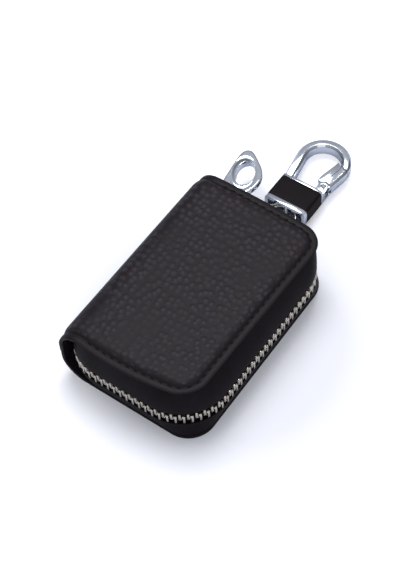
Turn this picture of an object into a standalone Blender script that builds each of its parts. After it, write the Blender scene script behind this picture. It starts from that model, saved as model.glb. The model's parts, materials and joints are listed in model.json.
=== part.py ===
# Zippered key holder: a leather clamshell case with a metal zip on three sides,
# a drop-shaped zip pull, and a carabiner hook on a swivel at one end.
# Metres. +Y runs from the case to the hook, +X from the folded spine to the zip's
# long side, +Z up. The origin is on the resting face, under the middle of the case.

import math

import bmesh
import bpy
from mathutils import Matrix, Vector

# Case
case_length = 0.0796
case_width = 0.0534
case_height = 0.0254
leather = 0.0012
spine_bend_radius = 0.0090
hem_corner_radius = 0.0085
hem_border = 0.0024
hem_slope = 0.0014
hem_drop = 0.0009
clearance = 0.0003
overrun = 0.0010

# The closed lid's edge, bowed out in the middle and drawn in towards the zip side
lid_side_draw = 0.0014
lid_front_bow = 0.0012
lid_front_draw = 0.0034
lid_back_bow = 0.0002
lid_back_draw = 0.0016

# Layers between the leather and the lining
layer_gap = 0.0002
board_thickness = 0.0005
lining_thickness = 0.0003
padding_thickness = 0.0008
lid_padding_margin = 0.0045
spine_lining_thickness = 0.0004
spine_lining_margin = 0.0068

# Side walls, outset from the hem and its corner
gusset_leather = 0.0009
hem_tuck = 0.0009
wall_bulge_x = 0.0022
wall_bulge_y = 0.0015
wall_corner_radius = 0.0180
foot_outset_x = 0.0003
foot_outset_y = -0.0002
foot_corner_radius = 0.0098
bottom_outset_x = 0.0005
bottom_outset_y = 0.0
front_curl_start = 0.0144
front_curl_radius = 0.0150
front_curl_angle = math.radians(50)
back_curl_start = 0.0082
back_curl_radius = 0.0080
back_curl_angle = math.radians(42)

# Zip chain
zip_height = 0.0110
tooth_pitch = 0.00250
tooth_thickness = 0.00095
tooth_depth = 0.0022
tooth_head_depth = 0.0017
tooth_reach = 0.0023
head_overlap = 0.00025
cord_depth = 0.0011
cord_low = 0.00075
cord_high = 0.00195
zip_sink = 0.0004
tape_thickness = 0.0006
tape_start = 0.0026
tape_seam = 0.0034
gusset_edge = 0.0036
chain_front_trim = 0.0036
chain_back_trim = 0.0066
cord_tail = 0.0026
stop_length = 0.0012

# Slider, bail and pull
slider_length = 0.0095
slider_half_height = 0.0033
slider_flange = 0.0007
slider_plate = 0.0008
slider_closed_offset = 0.0124
flange_gap = 0.0006
wedge_length = 0.0019
wedge_half_height = 0.00045
bridge_length = 0.0056
bridge_bar = 0.0008
bridge_gap = 0.0014
bridge_half_width = 0.0009
bail_wire = 0.0008
bail_length = 0.0036
bail_side_gap = 0.0004
pull_length = 0.0196
pull_half_width = 0.0058
pull_thickness = 0.0024
pull_edge = 0.0005
pull_hole_length = 0.0108
pull_hole_width = 0.0066
pull_hole_centre = 0.0088
pull_turn = math.radians(20)

# Swivel and rings
hook_height = 0.0039
grommet_hole_radius = 0.0014
grommet_wall = 0.0004
grommet_flange_radius = 0.0026
grommet_flange = 0.0005
shaft_radius = 0.0011
collar_radius = 0.0018
collar_length = 0.0008
rivet_head_radius = 0.0016
eye_radius = 0.0026
eye_wire = 0.0009
ring_wire = 0.0010
ring_turn_gap = 0.00045
link_ring_radius = 0.0062
link_ring_play = 0.0006
key_ring_radius = 0.0110
ring_turns = 2

# Key tab inside the case
tab_width = 0.0070
tab_leather = 0.0008
tab_tail = 0.0060
tab_end_from_back = 0.0060

# Hook: sleeve, leather band, loop and gate
sleeve_width = 0.0168
sleeve_height = 0.0077
sleeve_length = 0.0124
sleeve_corner = 0.0014
sleeve_wall = 0.0013
sleeve_leather_thickness = 0.0005
sleeve_leather_inset = 0.0001
near_rim = 0.0017
far_rim = 0.0010
sleeve_pin_radius = 0.00065
sleeve_pin_setback = 0.0013
pin_socket = 0.0008
pin_socket_gap = 0.00015
base_block_length = 0.0045
loop_radius = 0.0084
loop_centre_from_sleeve = 0.0133
loop_foot_half_width = 0.00645
loop_band = 0.0035
loop_depth = 0.0052
loop_edge = 0.0008
nose_angle = math.radians(10)
nose_point = 0.0011
nose_gap = 0.0005
gate_bar_depth = 0.0042
gate_inner_low = 0.0032
gate_inner_high = 0.0052
gate_pin_radius = 0.0006
gate_pin_from_sleeve = 0.0032
lug_radius = 0.0019
lug_thickness = 0.0009
gate_heel_radius = 0.0016
spring_wire = 0.0003
spring_turns = 1.5
spring_pitch = 0.00075

# Finishes: colour, roughness, metallic
leather_finish = ((0.022, 0.018, 0.018), 0.55, 0.0)
gusset_finish = ((0.012, 0.010, 0.011), 0.6, 0.0)
fabric_finish = ((0.02, 0.02, 0.022), 0.9, 0.0)
board_finish = ((0.35, 0.30, 0.24), 0.9, 0.0)
foam_finish = ((0.6, 0.6, 0.58), 0.95, 0.0)
nickel_finish = ((0.72, 0.69, 0.64), 0.25, 1.0)
chrome_finish = ((0.80, 0.82, 0.86), 0.08, 1.0)
steel_finish = ((0.62, 0.61, 0.58), 0.2, 1.0)

# Detail of round shapes
corner_steps = 7
edge_steps = 4
run_steps = 3
curl_steps = 5
bend_steps = 4
wire_sides = 6
ring_steps = 24

# Places worked out from the sizes above
half_length = case_length / 2
half_width = case_width / 2
bend_x = -half_width + spine_bend_radius
fold_share = 0.5
lower_bend_z = spine_bend_radius
upper_bend_z = case_height - spine_bend_radius
wall_top = case_height - hem_drop - leather - clearance
wall_foot = leather + clearance
chain_inset = zip_sink + tooth_depth / 2


def remove_all():
    for item in list(bpy.data.objects):
        bpy.data.objects.remove(item, do_unlink=True)


def make_material(name, finish):
    colour, roughness, metallic = finish
    material = bpy.data.materials.new(name)
    material.use_nodes = True
    shader = material.node_tree.nodes["Principled BSDF"]
    shader.inputs["Base Color"].default_value = (*colour, 1.0)
    shader.inputs["Roughness"].default_value = roughness
    shader.inputs["Metallic"].default_value = metallic
    material.diffuse_color = (*colour, 1.0)
    return material


def place(name, points, faces, finish, smooth=None, origin=None):
    # One named object from a closed mesh; its origin goes on its joint's axis.
    bm = bmesh.new()
    verts = [bm.verts.new(p) for p in points]
    for face in faces:
        bm.faces.new([verts[i] for i in face])
    bmesh.ops.recalc_face_normals(bm, faces=bm.faces)
    return place_bmesh(name, bm, finish, smooth, origin)


def place_bmesh(name, bm, finish, smooth=None, origin=None):
    if origin:
        bmesh.ops.translate(bm, verts=bm.verts, vec=-Vector(origin))
    mesh = bpy.data.meshes.new(name)
    bm.to_mesh(mesh)
    bm.free()
    if smooth:
        mesh.shade_smooth()
        mesh.set_sharp_from_angle(angle=math.radians(smooth))
    item = bpy.data.objects.new(name, mesh)
    bpy.context.collection.objects.link(item)
    if origin:
        item.location = origin
    if finish:
        mesh.materials.append(make_material(name, finish))
    return item


def as_cutter(item):
    item.hide_render = True
    item.display_type = "WIRE"
    return item


def combine(item, other, operation):
    modifier = item.modifiers.new(other.name, "BOOLEAN")
    modifier.operation = operation
    modifier.solver = "EXACT"
    modifier.object = as_cutter(other)


def close_shell(outer, inner, faces):
    # Outer and inner surfaces of one topology, joined round their open edges.
    count = len(outer)
    uses = {}
    for face in faces:
        for a, b in zip(face, face[1:] + face[:1]):
            uses.setdefault(frozenset((a, b)), []).append((a, b))
    shell = list(faces)
    shell += [tuple(count + i for i in reversed(face)) for face in faces]
    for ways in uses.values():
        if len(ways) == 1:
            a, b = ways[0]
            shell.append((b, a, count + a, count + b))
    return outer + inner, shell


def grid_faces(rows, columns, wrap=False):
    faces = []
    for r in range(rows - 1):
        for c in range(columns if wrap else columns - 1):
            d = (c + 1) % columns
            faces.append((r * columns + c, r * columns + d,
                          (r + 1) * columns + d, (r + 1) * columns + c))
    return faces


def loft(rings, closed=False):
    # Rings of equal count, joined in turn; open lofts get flat ends.
    columns = len(rings[0])
    rows = len(rings)
    points = [p for ring in rings for p in ring]
    faces = grid_faces(rows, columns, wrap=True)
    if closed:
        last = (rows - 1) * columns
        for c in range(columns):
            d = (c + 1) % columns
            faces.append((last + c, last + d, d, c))
    else:
        faces.append(tuple(reversed(range(columns))))
        faces.append(tuple(range((rows - 1) * columns, rows * columns)))
    return points, faces


def sweep(path, section, closed=False, up=(0, 0, 1)):
    # A section of (across, along up) points carried along a path.
    rings = []
    last = len(path) - 1
    upward = Vector(up)
    for i, point in enumerate(path):
        before = path[i - 1] if i or closed else path[i]
        after = path[(i + 1) % len(path)] if i < last or closed else path[i]
        along = (Vector(after) - Vector(before)).normalized()
        side = along.cross(upward).normalized()
        lift = side.cross(along).normalized()
        rings.append([Vector(point) + side * across + lift * rise for across, rise in section])
    return loft(rings, closed)


def tube(path, width, sides, closed=False, up=(0, 0, 1)):
    # A round wire along a path.
    angles = [2 * math.pi * (k + 0.5) / sides for k in range(sides)]
    section = [(width / 2 * math.cos(a), width / 2 * math.sin(a)) for a in angles]
    return sweep(path, section, closed, up)


def flat_bar(path, width, height, edge):
    # A flat bar along a path, with its four edges cut off.
    x, z = width / 2, height / 2
    section = [(x, -z + edge), (x, z - edge), (x - edge, z), (edge - x, z), (-x, z - edge),
               (-x, edge - z), (edge - x, -z), (x - edge, -z)]
    return sweep(path, section)


def prism(outline, low, high, axes):
    # An outline drawn on two axes, extruded along the third.
    def corner(a, b, c):
        spot = {axes[0]: a, axes[1]: b, axes[2]: c}
        return Vector((spot["x"], spot["y"], spot["z"]))
    rings = [[corner(a, b, low) for a, b in outline], [corner(a, b, high) for a, b in outline]]
    return loft(rings)


def turned(profile, centre, sides):
    # A closed profile of (y, radius) turned about the line through centre along Y.
    rings = []
    for k in range(sides):
        angle = 2 * math.pi * k / sides
        rings.append([Vector((centre[0] + r * math.cos(angle), y, centre[2] + r * math.sin(angle)))
                      for y, r in profile])
    return loft(rings, closed=True)


def upright_pin(centre, radius, low, high, sides=16):
    rings = []
    for z in (low, high):
        rings.append([Vector((centre[0] + radius * math.cos(2 * math.pi * k / sides),
                              centre[1] + radius * math.sin(2 * math.pi * k / sides), z))
                      for k in range(sides)])
    return loft(rings)


def long_pin(centre, radius, near, far, sides=16):
    rings = []
    for y in (near, far):
        rings.append([Vector((centre[0] + radius * math.cos(2 * math.pi * k / sides), y,
                              centre[2] + radius * math.sin(2 * math.pi * k / sides)))
                      for k in range(sides)])
    return loft(rings)


# The wall's plan: a rounded rectangle whose open ends curl in towards the spine


def rail(half_x, half_y, radius, inset):
    return {
        "x": half_x - inset,
        "y": half_y - inset,
        "r": radius - inset,
        "front": (-half_width + front_curl_start, front_curl_radius - inset, front_curl_angle),
        "back": (-half_width + back_curl_start, back_curl_radius - inset, back_curl_angle),
    }


def wall_rail(z, inset=0.0):
    # Widest at the zip, drawn in to the hem above it and to the foot below it.
    if z >= zip_height:
        end_x = half_width - hem_tuck
        end_y = half_length - hem_tuck
        end_r = hem_corner_radius - hem_tuck
        share = (wall_top - z) / (wall_top - zip_height)
    else:
        end_x = half_width + foot_outset_x
        end_y = half_length + foot_outset_y
        end_r = foot_corner_radius
        share = (z - wall_foot) / (zip_height - wall_foot)
    ease = math.sin(max(0.0, min(1.0, share)) * math.pi / 2)
    half_x = end_x + (half_width + wall_bulge_x - end_x) * ease
    half_y = end_y + (half_length + wall_bulge_y - end_y) * ease
    radius = end_r + (wall_corner_radius - end_r) * ease
    return rail(half_x, half_y, radius, inset)


def rail_side(plan, side):
    # Lengths of the straight, corner, straight and curl from the long side's middle.
    curl_x, curl_r, curl_angle = plan[side]
    return (plan["y"] - plan["r"], plan["r"] * math.pi / 2,
            plan["x"] - plan["r"] - curl_x, curl_r * curl_angle)


def rail_point(plan, distance):
    # Place and outward normal at a distance from the middle of the long side.
    side = "back" if distance >= 0 else "front"
    sign = 1 if distance >= 0 else -1
    left = abs(distance)
    long_run, corner, short_run, _ = rail_side(plan, side)
    curl_x, curl_r, _ = plan[side]
    if left <= long_run:
        x, y, nx, ny = plan["x"], left, 1.0, 0.0
    elif left <= long_run + corner:
        angle = (left - long_run) / plan["r"]
        nx, ny = math.cos(angle), math.sin(angle)
        x = plan["x"] - plan["r"] + plan["r"] * nx
        y = plan["y"] - plan["r"] + plan["r"] * ny
    elif left <= long_run + corner + short_run:
        x = plan["x"] - plan["r"] - (left - long_run - corner)
        y, nx, ny = plan["y"], 0.0, 1.0
    else:
        angle = (left - long_run - corner - short_run) / curl_r
        nx, ny = -math.sin(angle), math.cos(angle)
        x = curl_x + curl_r * nx
        y = plan["y"] - curl_r + curl_r * ny
    return x, sign * y, nx, sign * ny


def rail_stations(plan):
    # The same count of stations at every height, from the front end to the back end.
    stations = []
    for side, sign in (("front", -1), ("back", 1)):
        long_run, corner, short_run, curl = rail_side(plan, side)
        marks = [long_run]
        marks += [long_run + corner * k / corner_steps for k in range(1, corner_steps + 1)]
        marks += [long_run + corner + short_run * k / run_steps for k in range(1, run_steps + 1)]
        marks += [long_run + corner + short_run + curl * k / curl_steps
                  for k in range(1, curl_steps + 1)]
        marks = [sign * m for m in marks]
        stations += list(reversed(marks)) if side == "front" else [0.0] + marks
    return [rail_point(plan, s) for s in stations]


def drawn_in(x, y, share):
    # The closed lid's edge is pulled out of square; share fades this from 1 to 0.
    across = max(0.0, min(1.0, (x - bend_x) / (half_width - bend_x)))
    bow, draw = (lid_front_bow, lid_front_draw) if y < 0 else (lid_back_bow, lid_back_draw)
    change = 4 * bow * across * (1 - across) - draw * across ** 2
    return x - lid_side_draw * across * share, y * (1 + change / half_length * share)


def wall_stations(z, inset):
    # The walls' plan at this height; above the zip it eases over to the lid's edge.
    rise = max(0.0, (z - zip_height) / (wall_top - zip_height))
    share = 1 - math.cos(rise * math.pi / 2)
    return [drawn_in(x, y, share) for x, y, _, _ in rail_stations(wall_rail(z, inset))]


def bend_rise(x, inner_radius):
    # How far the curved leather has lifted off its flat at x.
    reach = max(0.0, bend_x - x)
    reach = min(reach, inner_radius)
    return inner_radius - math.sqrt(inner_radius ** 2 - reach ** 2)


def wall_surface(levels, inset):
    # Rows from the lowest level to the highest, following the walls' plan.
    # Near the spine the foot and the top give way to the curved leather.
    inner_radius = spine_bend_radius - leather - clearance
    rows = []
    for z in levels:
        row = []
        for x, y in wall_stations(z, inset):
            lift = bend_rise(x, inner_radius)
            row.append(Vector((x, y, min(max(z, wall_foot + lift), wall_top - lift))))
        rows += row
    return rows


def wall(name, low, high, outer_inset, thickness, finish, steps):
    levels = [low + (high - low) * k / steps for k in range(steps + 1)]
    outer = wall_surface(levels, outer_inset)
    inner = wall_surface(levels, outer_inset + thickness)
    columns = len(outer) // len(levels)
    points, faces = close_shell(outer, inner, grid_faces(len(levels), columns))
    return place(name, points, faces, finish, smooth=35)


# Covers: a flat field with a border round three sides and a bend at the spine


def cover_outline(half_x, half_y, radius, inset, share):
    x, y, r = half_x - inset, half_y - inset, max(radius - inset, clearance)
    run = x - r - bend_x
    points = [(bend_x + run * k / edge_steps, -y) for k in range(edge_steps)]
    for k in range(corner_steps + 1):
        angle = -math.pi / 2 + math.pi / 2 * k / corner_steps
        points.append((x - r + r * math.cos(angle), -y + r + r * math.sin(angle)))
    for k in range(corner_steps + 1):
        angle = math.pi / 2 * k / corner_steps
        points.append((x - r + r * math.cos(angle), y - r + r * math.sin(angle)))
    points += [(x - r - run * k / edge_steps, y) for k in range(1, edge_steps + 1)]
    return [drawn_in(a, b, share) for a, b in points]


def border_levels(drop, depth):
    # (inset, depth below the field) of the outer and inner faces, from the edge inwards.
    edge_share, round_share, flat_share = 0.45, 0.12, 0.60
    lower_edge_share, lower_round_share = 0.60, 0.92
    outer = [(0.0, drop + leather * edge_share),
             (leather * 0.25, drop + leather * round_share),
             (leather * flat_share, drop),
             (hem_border, drop),
             (hem_border + hem_slope, 0.0)]
    inner = [(0.0, drop + leather * lower_edge_share),
             (leather * 0.25, drop + leather * lower_round_share),
             (leather * flat_share, drop + depth),
             (hem_border, drop + depth),
             (hem_border + hem_slope, depth)]
    return outer, inner


def fold_angle():
    # The covers end at the middle of each bend, less half the gap to the spine.
    return math.pi / 2 * fold_share - clearance / 2 / spine_bend_radius


def cover_surface(levels, half_x, half_y, radius, face_z, upward):
    # The field, its border and the quarter of bend that belongs to this cover.
    turn = 1 if upward else -1
    points, faces, outlines = [], [], []
    for inset, depth in levels:
        outline = cover_outline(half_x, half_y, radius, inset, 1.0 if upward else 0.0)
        outlines.append([len(points) + k for k in range(len(outline))])
        points += [Vector((x, y, face_z - turn * depth)) for x, y in outline]
    for first, second in zip(outlines, outlines[1:]):
        for k in range(len(first) - 1):
            faces.append((first[k], first[k + 1], second[k + 1], second[k]))
    field = outlines[-1]
    for k in range(len(field) // 2 - 1):
        a, b = field[k], field[k + 1]
        c, d = field[-2 - k], field[-1 - k]
        faces.append((a, b, c, d))
    edge = [o[0] for o in outlines] + [o[-1] for o in reversed(outlines)]
    depths = [d for _, d in levels] + [d for _, d in reversed(levels)]
    centre = face_z - turn * spine_bend_radius
    previous = edge
    for step in range(1, bend_steps + 1):
        angle = fold_angle() * step / bend_steps
        row = []
        for start, depth in zip(edge, depths):
            r = spine_bend_radius - depth
            row.append(len(points))
            points.append(Vector((bend_x - r * math.sin(angle), points[start].y,
                                  centre + turn * r * math.cos(angle))))
        for k in range(len(edge) - 1):
            faces.append((previous[k], row[k], row[k + 1], previous[k + 1]))
        previous = row
    return points, faces


def cover(name, half_x, half_y, radius, face_z, upward, drop):
    outer_levels, inner_levels = border_levels(drop, leather)
    outer, faces = cover_surface(outer_levels, half_x, half_y, radius, face_z, upward)
    inner, _ = cover_surface(inner_levels, half_x, half_y, radius, face_z, upward)
    points, faces = close_shell(outer, inner, faces)
    return place(name, points, faces, leather_finish, smooth=40)


def spine_section(depth):
    # (x, z) down the spine at a depth under its outer face, between the two folds.
    stations = []
    start = math.pi - (math.pi / 2 - fold_angle()) - clearance / spine_bend_radius
    r = spine_bend_radius - depth
    sweep = math.pi / 2 * (1 - fold_share) - clearance / 2 / spine_bend_radius
    for k in range(bend_steps + 1):
        angle = sweep * (1 - k / bend_steps)
        stations.append((bend_x - r * math.cos(angle), upper_bend_z + r * math.sin(angle)))
    for k in range(bend_steps + 1):
        angle = sweep * k / bend_steps
        stations.append((bend_x - r * math.cos(angle), lower_bend_z - r * math.sin(angle)))
    return stations


def spine_surface(levels, half_top, half_low, drop):
    # Columns from the front edge to the back edge, rows down the spine.
    points = []
    sections = [spine_section(depth) for _, depth in levels]
    rows = len(sections[0])
    for r in range(rows):
        share = r / (rows - 1)
        half_y = half_top + (half_low - half_top) * share
        row = []
        for (inset, depth), section in zip(levels, sections):
            fade = min(depth, drop * (1 - share) + max(0.0, depth - drop))
            x, z = spine_section(fade)[r]
            row.append((x, half_y - inset, z))
        points += [Vector((x, -y, z)) for x, y, z in row]
        points += [Vector((x, y, z)) for x, y, z in reversed(row)]
    return points, grid_faces(rows, 2 * len(levels))


def make_spine():
    outer_levels, inner_levels = border_levels(hem_drop, leather)
    low_half = half_length + bottom_outset_y
    outer, faces = spine_surface(outer_levels, half_length, low_half, hem_drop)
    inner, _ = spine_surface(inner_levels, half_length, low_half, hem_drop)
    points, faces = close_shell(outer, inner, faces)
    place("spine_panel", points, faces, leather_finish, smooth=40,
          origin=(lower_fold_x(), 0.0, lower_fold_z()))
    depth = leather + hem_drop + layer_gap
    flat = [(spine_lining_margin, depth)]
    deep = [(spine_lining_margin, depth + spine_lining_thickness)]
    outer, faces = spine_surface(flat, half_length, half_length, 0.0)
    inner, _ = spine_surface(deep, half_length, half_length, 0.0)
    points, faces = close_shell(outer, inner, faces)
    place("spine_lining", points, faces, fabric_finish, smooth=40)


def lower_fold_x():
    return bend_x - spine_bend_radius * math.sin(math.pi / 2 * fold_share)


def lower_fold_z():
    return lower_bend_z - spine_bend_radius * math.cos(math.pi / 2 * fold_share)


def upper_fold_z():
    return upper_bend_z + spine_bend_radius * math.cos(math.pi / 2 * fold_share)


def inside_outline(z, inset):
    # The plan inside the wall at this height, cut off where the bend begins.
    points = wall_stations(z, inset)
    inside = [p for p in points if p[0] > bend_x]
    first = points.index(inside[0])
    last = points.index(inside[-1])
    ends = []
    for kept, beyond in ((points[first], points[first - 1]), (points[last], points[last + 1])):
        share = (kept[0] - bend_x) / (kept[0] - beyond[0])
        ends.append((bend_x, kept[1] + (beyond[1] - kept[1]) * share))
    return [ends[0]] + inside + [ends[1]]


def layer(name, z, inset, low, high, finish):
    points, faces = prism(inside_outline(z, inset), low, high, "xyz")
    return place(name, points, faces, finish)


def make_covers():
    cover("bottom_cover", half_width + bottom_outset_x, half_length + bottom_outset_y,
          foot_corner_radius, 0.0, False, 0.0)
    top = cover("top_cover", half_width, half_length, hem_corner_radius, case_height, True,
                hem_drop)
    return top


def make_layers():
    inside = gusset_leather + clearance
    board_low = leather + layer_gap
    board_high = board_low + board_thickness
    lining_low = board_high + layer_gap
    board = layer("bottom_board", wall_foot, inside, board_low, board_high, board_finish)
    lining = layer("bottom_lining", wall_foot, inside, lining_low, lining_low + lining_thickness,
                   fabric_finish)
    half = grommet_flange_radius + clearance
    near = rivet_end_y() - clearance
    notch = [(-half, near), (half, near), (half, case_length), (-half, case_length)]
    points, faces = prism(notch, 0.0, hook_height, "xyz")
    cutter = place("rivet_notch_cutter", points, faces, None)
    combine(board, cutter, "DIFFERENCE")
    combine(lining, cutter, "DIFFERENCE")
    padding_high = case_height - leather - layer_gap
    board_high = wall_top - hem_drop
    board_low = board_high - board_thickness
    lining_high = board_low - layer_gap
    layer("top_padding", wall_top, lid_padding_margin - hem_tuck,
          padding_high - padding_thickness, padding_high, foam_finish)
    layer("top_board", wall_top, inside, board_low, board_high, board_finish)
    layer("top_lining", wall_top, inside, lining_high - lining_thickness, lining_high,
          fabric_finish)


def make_walls():
    lower = wall("lower_gusset", wall_foot, zip_height - gusset_edge, 0.0, gusset_leather,
                 gusset_finish, 3)
    wall("upper_gusset", zip_height + gusset_edge, wall_top, 0.0, gusset_leather,
         gusset_finish, 5)
    tape_inset = chain_inset - tape_thickness / 2
    tape = wall("lower_zip_tape", zip_height - tape_start - tape_seam, zip_height - tape_start,
                tape_inset, tape_thickness, fabric_finish, 2)
    wall("upper_zip_tape", zip_height + tape_start, zip_height + tape_start + tape_seam,
         tape_inset, tape_thickness, fabric_finish, 2)
    hole = grommet_hole_radius + grommet_wall + clearance
    relief = grommet_flange_radius + clearance
    centre = (0.0, 0.0, hook_height)
    near = half_length - chain_inset - tape_thickness - overrun
    far = half_length + wall_bulge_y + overrun
    points, faces = long_pin(centre, hole, near, far)
    combine(lower, place("grommet_hole_cutter", points, faces, None), "DIFFERENCE")
    points, faces = long_pin(centre, relief, near, far)
    combine(tape, place("tape_relief_cutter", points, faces, None), "DIFFERENCE")


# Zip: each row is one beaded edge with its teeth clamped on it


def chain_ends():
    plan = wall_rail(zip_height, chain_inset)
    front = -sum(rail_side(plan, "front")) + chain_front_trim
    back = sum(rail_side(plan, "back")) - chain_back_trim
    return plan, front, back


def chain_ring(plan, distance, corners, turn):
    x, y, nx, ny = rail_point(plan, distance)
    return [Vector((x + nx * n, y + ny * n, zip_height + turn * z)) for n, z in corners]


def zip_row(name, turn, shift):
    plan, front, back = chain_ends()
    cord = [(-cord_depth / 2, cord_low), (cord_depth / 2, cord_low),
            (cord_depth / 2, cord_high), (-cord_depth / 2, cord_high)]
    tooth = [(-tooth_head_depth / 2, -head_overlap), (tooth_head_depth / 2, -head_overlap),
             (tooth_depth / 2, tooth_reach), (-tooth_depth / 2, tooth_reach)]
    rings = [chain_ring(plan, front, cord, turn)]
    count = int((back - front - tooth_pitch) / tooth_pitch)
    for k in range(count):
        middle = front + tooth_pitch * (k + 0.5) + shift
        start = middle - tooth_thickness / 2
        end = middle + tooth_thickness / 2
        rings += [chain_ring(plan, start, cord, turn), chain_ring(plan, start, tooth, turn),
                  chain_ring(plan, end, tooth, turn), chain_ring(plan, end, cord, turn)]
    # The row ends in its stop, clamped on the same cord.
    stop = [(-tooth_depth / 2, cord_low), (tooth_depth / 2, cord_low),
            (tooth_depth / 2, tooth_reach), (-tooth_depth / 2, tooth_reach)]
    halfway = back + cord_tail / 2
    start = back + cord_tail
    rings += [chain_ring(plan, halfway, cord, turn), chain_ring(plan, start, cord, turn),
              chain_ring(plan, start, stop, turn),
              chain_ring(plan, start + stop_length, stop, turn)]
    points, faces = loft(rings)
    place(name, points, faces, nickel_finish)


def make_zip():
    zip_row("upper_zip_teeth", 1, 0.0)
    zip_row("lower_zip_teeth", -1, tooth_pitch / 2)
    plan, front, _ = chain_ends()
    half = tooth_depth / 2
    section = [(-half, -cord_high), (half, -cord_high), (half, tooth_reach), (-half, tooth_reach)]
    end = front - clearance
    rings = [chain_ring(plan, end - stop_length, section, -1), chain_ring(plan, end, section, -1)]
    points, faces = loft(rings)
    place("bottom_stop", points, faces, nickel_finish)


# Slider, bail and pull, on the back's straight run


def chain_line():
    # Y of the chain's mid-plane along the back.
    return wall_rail(zip_height, chain_inset)["y"]


def slider_x():
    return -half_width + slider_closed_offset


def plate_top():
    return tooth_depth / 2 + clearance + slider_plate


def make_slider():
    line = chain_line()
    x = slider_x()
    top = plate_top()
    under = top - slider_plate
    high = slider_half_height
    lip = slider_half_height - slider_flange
    low, end = x - slider_length / 2, x + slider_length / 2

    def channel(sign):
        return [(line + sign * n, zip_height + z) for n, z in (
            (top, -high), (top, high), (flange_gap, high), (flange_gap, lip), (under, lip),
            (under, -lip), (flange_gap, -lip), (flange_gap, -high))]

    points, faces = prism(channel(1), low, end, "yzx")
    body = place("zip_slider", points, faces, nickel_finish)
    points, faces = prism(channel(-1), low, end, "yzx")
    combine(body, place("slider_inner_plate", points, faces, None), "UNION")
    join = slider_plate / 2
    reach = under + join
    wedge = [(low + clearance, line - reach), (low + clearance, line + reach),
             (low + clearance + wedge_length, line + reach),
             (low + clearance + wedge_length, line - reach)]
    points, faces = prism(wedge, zip_height - wedge_half_height, zip_height + wedge_half_height,
                          "xyz")
    combine(body, place("slider_wedge", points, faces, None), "UNION")
    left, right = x - bridge_length / 2, x + bridge_length / 2
    foot = line + top - join
    gap_high = line + top + bridge_gap
    crest = gap_high + bridge_bar
    arch = [(left, foot), (left, gap_high), (left + bridge_bar, crest),
            (right - bridge_bar, crest), (right, gap_high), (right, foot),
            (right - bridge_bar, foot), (right - bridge_bar, gap_high),
            (left + bridge_bar, gap_high), (left + bridge_bar, foot)]
    points, faces = prism(arch, zip_height - bridge_half_width, zip_height + bridge_half_width,
                          "xyz")
    combine(body, place("slider_bridge", points, faces, None), "UNION")


def bail_pivot_y():
    return chain_line() + plate_top() + bridge_gap / 2


def bail_half_height():
    return pull_thickness / 2 + bail_side_gap + bail_wire / 2


def rounded_loop(half_a, half_b, radius, steps):
    points = []
    for quarter, (sa, sb) in enumerate(((1, 1), (-1, 1), (-1, -1), (1, -1))):
        for k in range(steps + 1):
            angle = math.pi / 2 * (quarter + k / steps)
            points.append((sa * (half_a - radius) + radius * math.cos(angle),
                           sb * (half_b - radius) + radius * math.sin(angle)))
    return points


def make_bail():
    pivot = bail_pivot_y()
    half_a = bail_length / 2
    middle = pivot + half_a
    loop = rounded_loop(half_a, bail_half_height(), bail_wire, 3)
    path = [Vector((slider_x(), middle + a, zip_height + b)) for a, b in loop]
    points, faces = tube(path, bail_wire, wire_sides, closed=True, up=(1, 0, 0))
    place("pull_bail", points, faces, chrome_finish, smooth=60,
          origin=(slider_x(), pivot, zip_height))


def smooth_outline(points, steps):
    # A closed curve through the given points.
    out = []
    count = len(points)
    for i in range(count):
        a, b, c, d = (points[(i + k) % count] for k in (-1, 0, 1, 2))
        for k in range(steps):
            t = k / steps
            out.append(tuple(0.5 * (2 * q + (r - p) * t + (2 * p - 5 * q + 4 * r - s) * t ** 2
                                    + (3 * q - p - 3 * r + s) * t ** 3)
                             for p, q, r, s in zip(a, b, c, d)))
    return out


# Outline of the drop: (share of its length from the pivot, share of its half width)
pull_outline_shares = [
    (-0.085, 0.0), (-0.04, -0.26), (0.045, -0.74), (0.10, -1.10), (0.20, -1.23), (0.42, -1.08),
    (0.68, -0.90), (0.88, -0.70), (0.98, -0.46), (1.0, -0.18), (0.97, 0.06), (0.88, 0.31),
    (0.73, 0.66), (0.58, 0.94), (0.42, 1.05), (0.27, 0.96), (0.14, 0.74), (0.02, 0.42)]


def make_pull():
    pivot = Vector((slider_x(), bail_pivot_y() + bail_length, zip_height))
    along = Vector((-math.sin(pull_turn), math.cos(pull_turn), 0.0))
    across = Vector((math.cos(pull_turn), math.sin(pull_turn), 0.0))

    def spot(s, w):
        point = pivot + along * s + across * w
        return point.x, point.y

    shares = smooth_outline(pull_outline_shares, 2)
    outline = [spot(s * pull_length, w * pull_half_width) for s, w in shares]
    half = pull_thickness / 2
    points, faces = prism(outline, zip_height - half, zip_height + half, "xyz")
    body = place("zip_pull", points, faces, chrome_finish, smooth=40, origin=tuple(pivot))
    edge = body.modifiers.new("edge", "BEVEL")
    edge.width = pull_edge
    edge.segments = 2
    edge.limit_method = "ANGLE"
    edge.angle_limit = math.radians(50)
    hole = [spot(pull_hole_centre + pull_hole_length / 2 * math.cos(2 * math.pi * k / ring_steps),
                 pull_hole_width / 2 * math.sin(2 * math.pi * k / ring_steps))
            for k in range(ring_steps)]
    low, high = zip_height - half - overrun, zip_height + half + overrun
    points, faces = prism(hole, low, high, "xyz")
    combine(body, place("pull_hole_cutter", points, faces, None), "DIFFERENCE")
    points, faces = upright_pin(pivot, bail_wire / 2 + clearance, low, high, 12)
    combine(body, place("pull_eye_cutter", points, faces, None), "DIFFERENCE")


# Swivel post in its grommet, the two rings and the key tab


def flange_outer_y():
    # The flange lies on the wall, which leans out above the swivel.
    return wall_rail(hook_height + grommet_flange_radius)["y"] + clearance + grommet_flange


def washer_outer_y():
    return wall_rail(hook_height - grommet_flange_radius)["y"] - gusset_leather - clearance


def eye_centre_y():
    return flange_outer_y() + clearance + collar_length / 2 + eye_radius + eye_wire / 2


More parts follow.
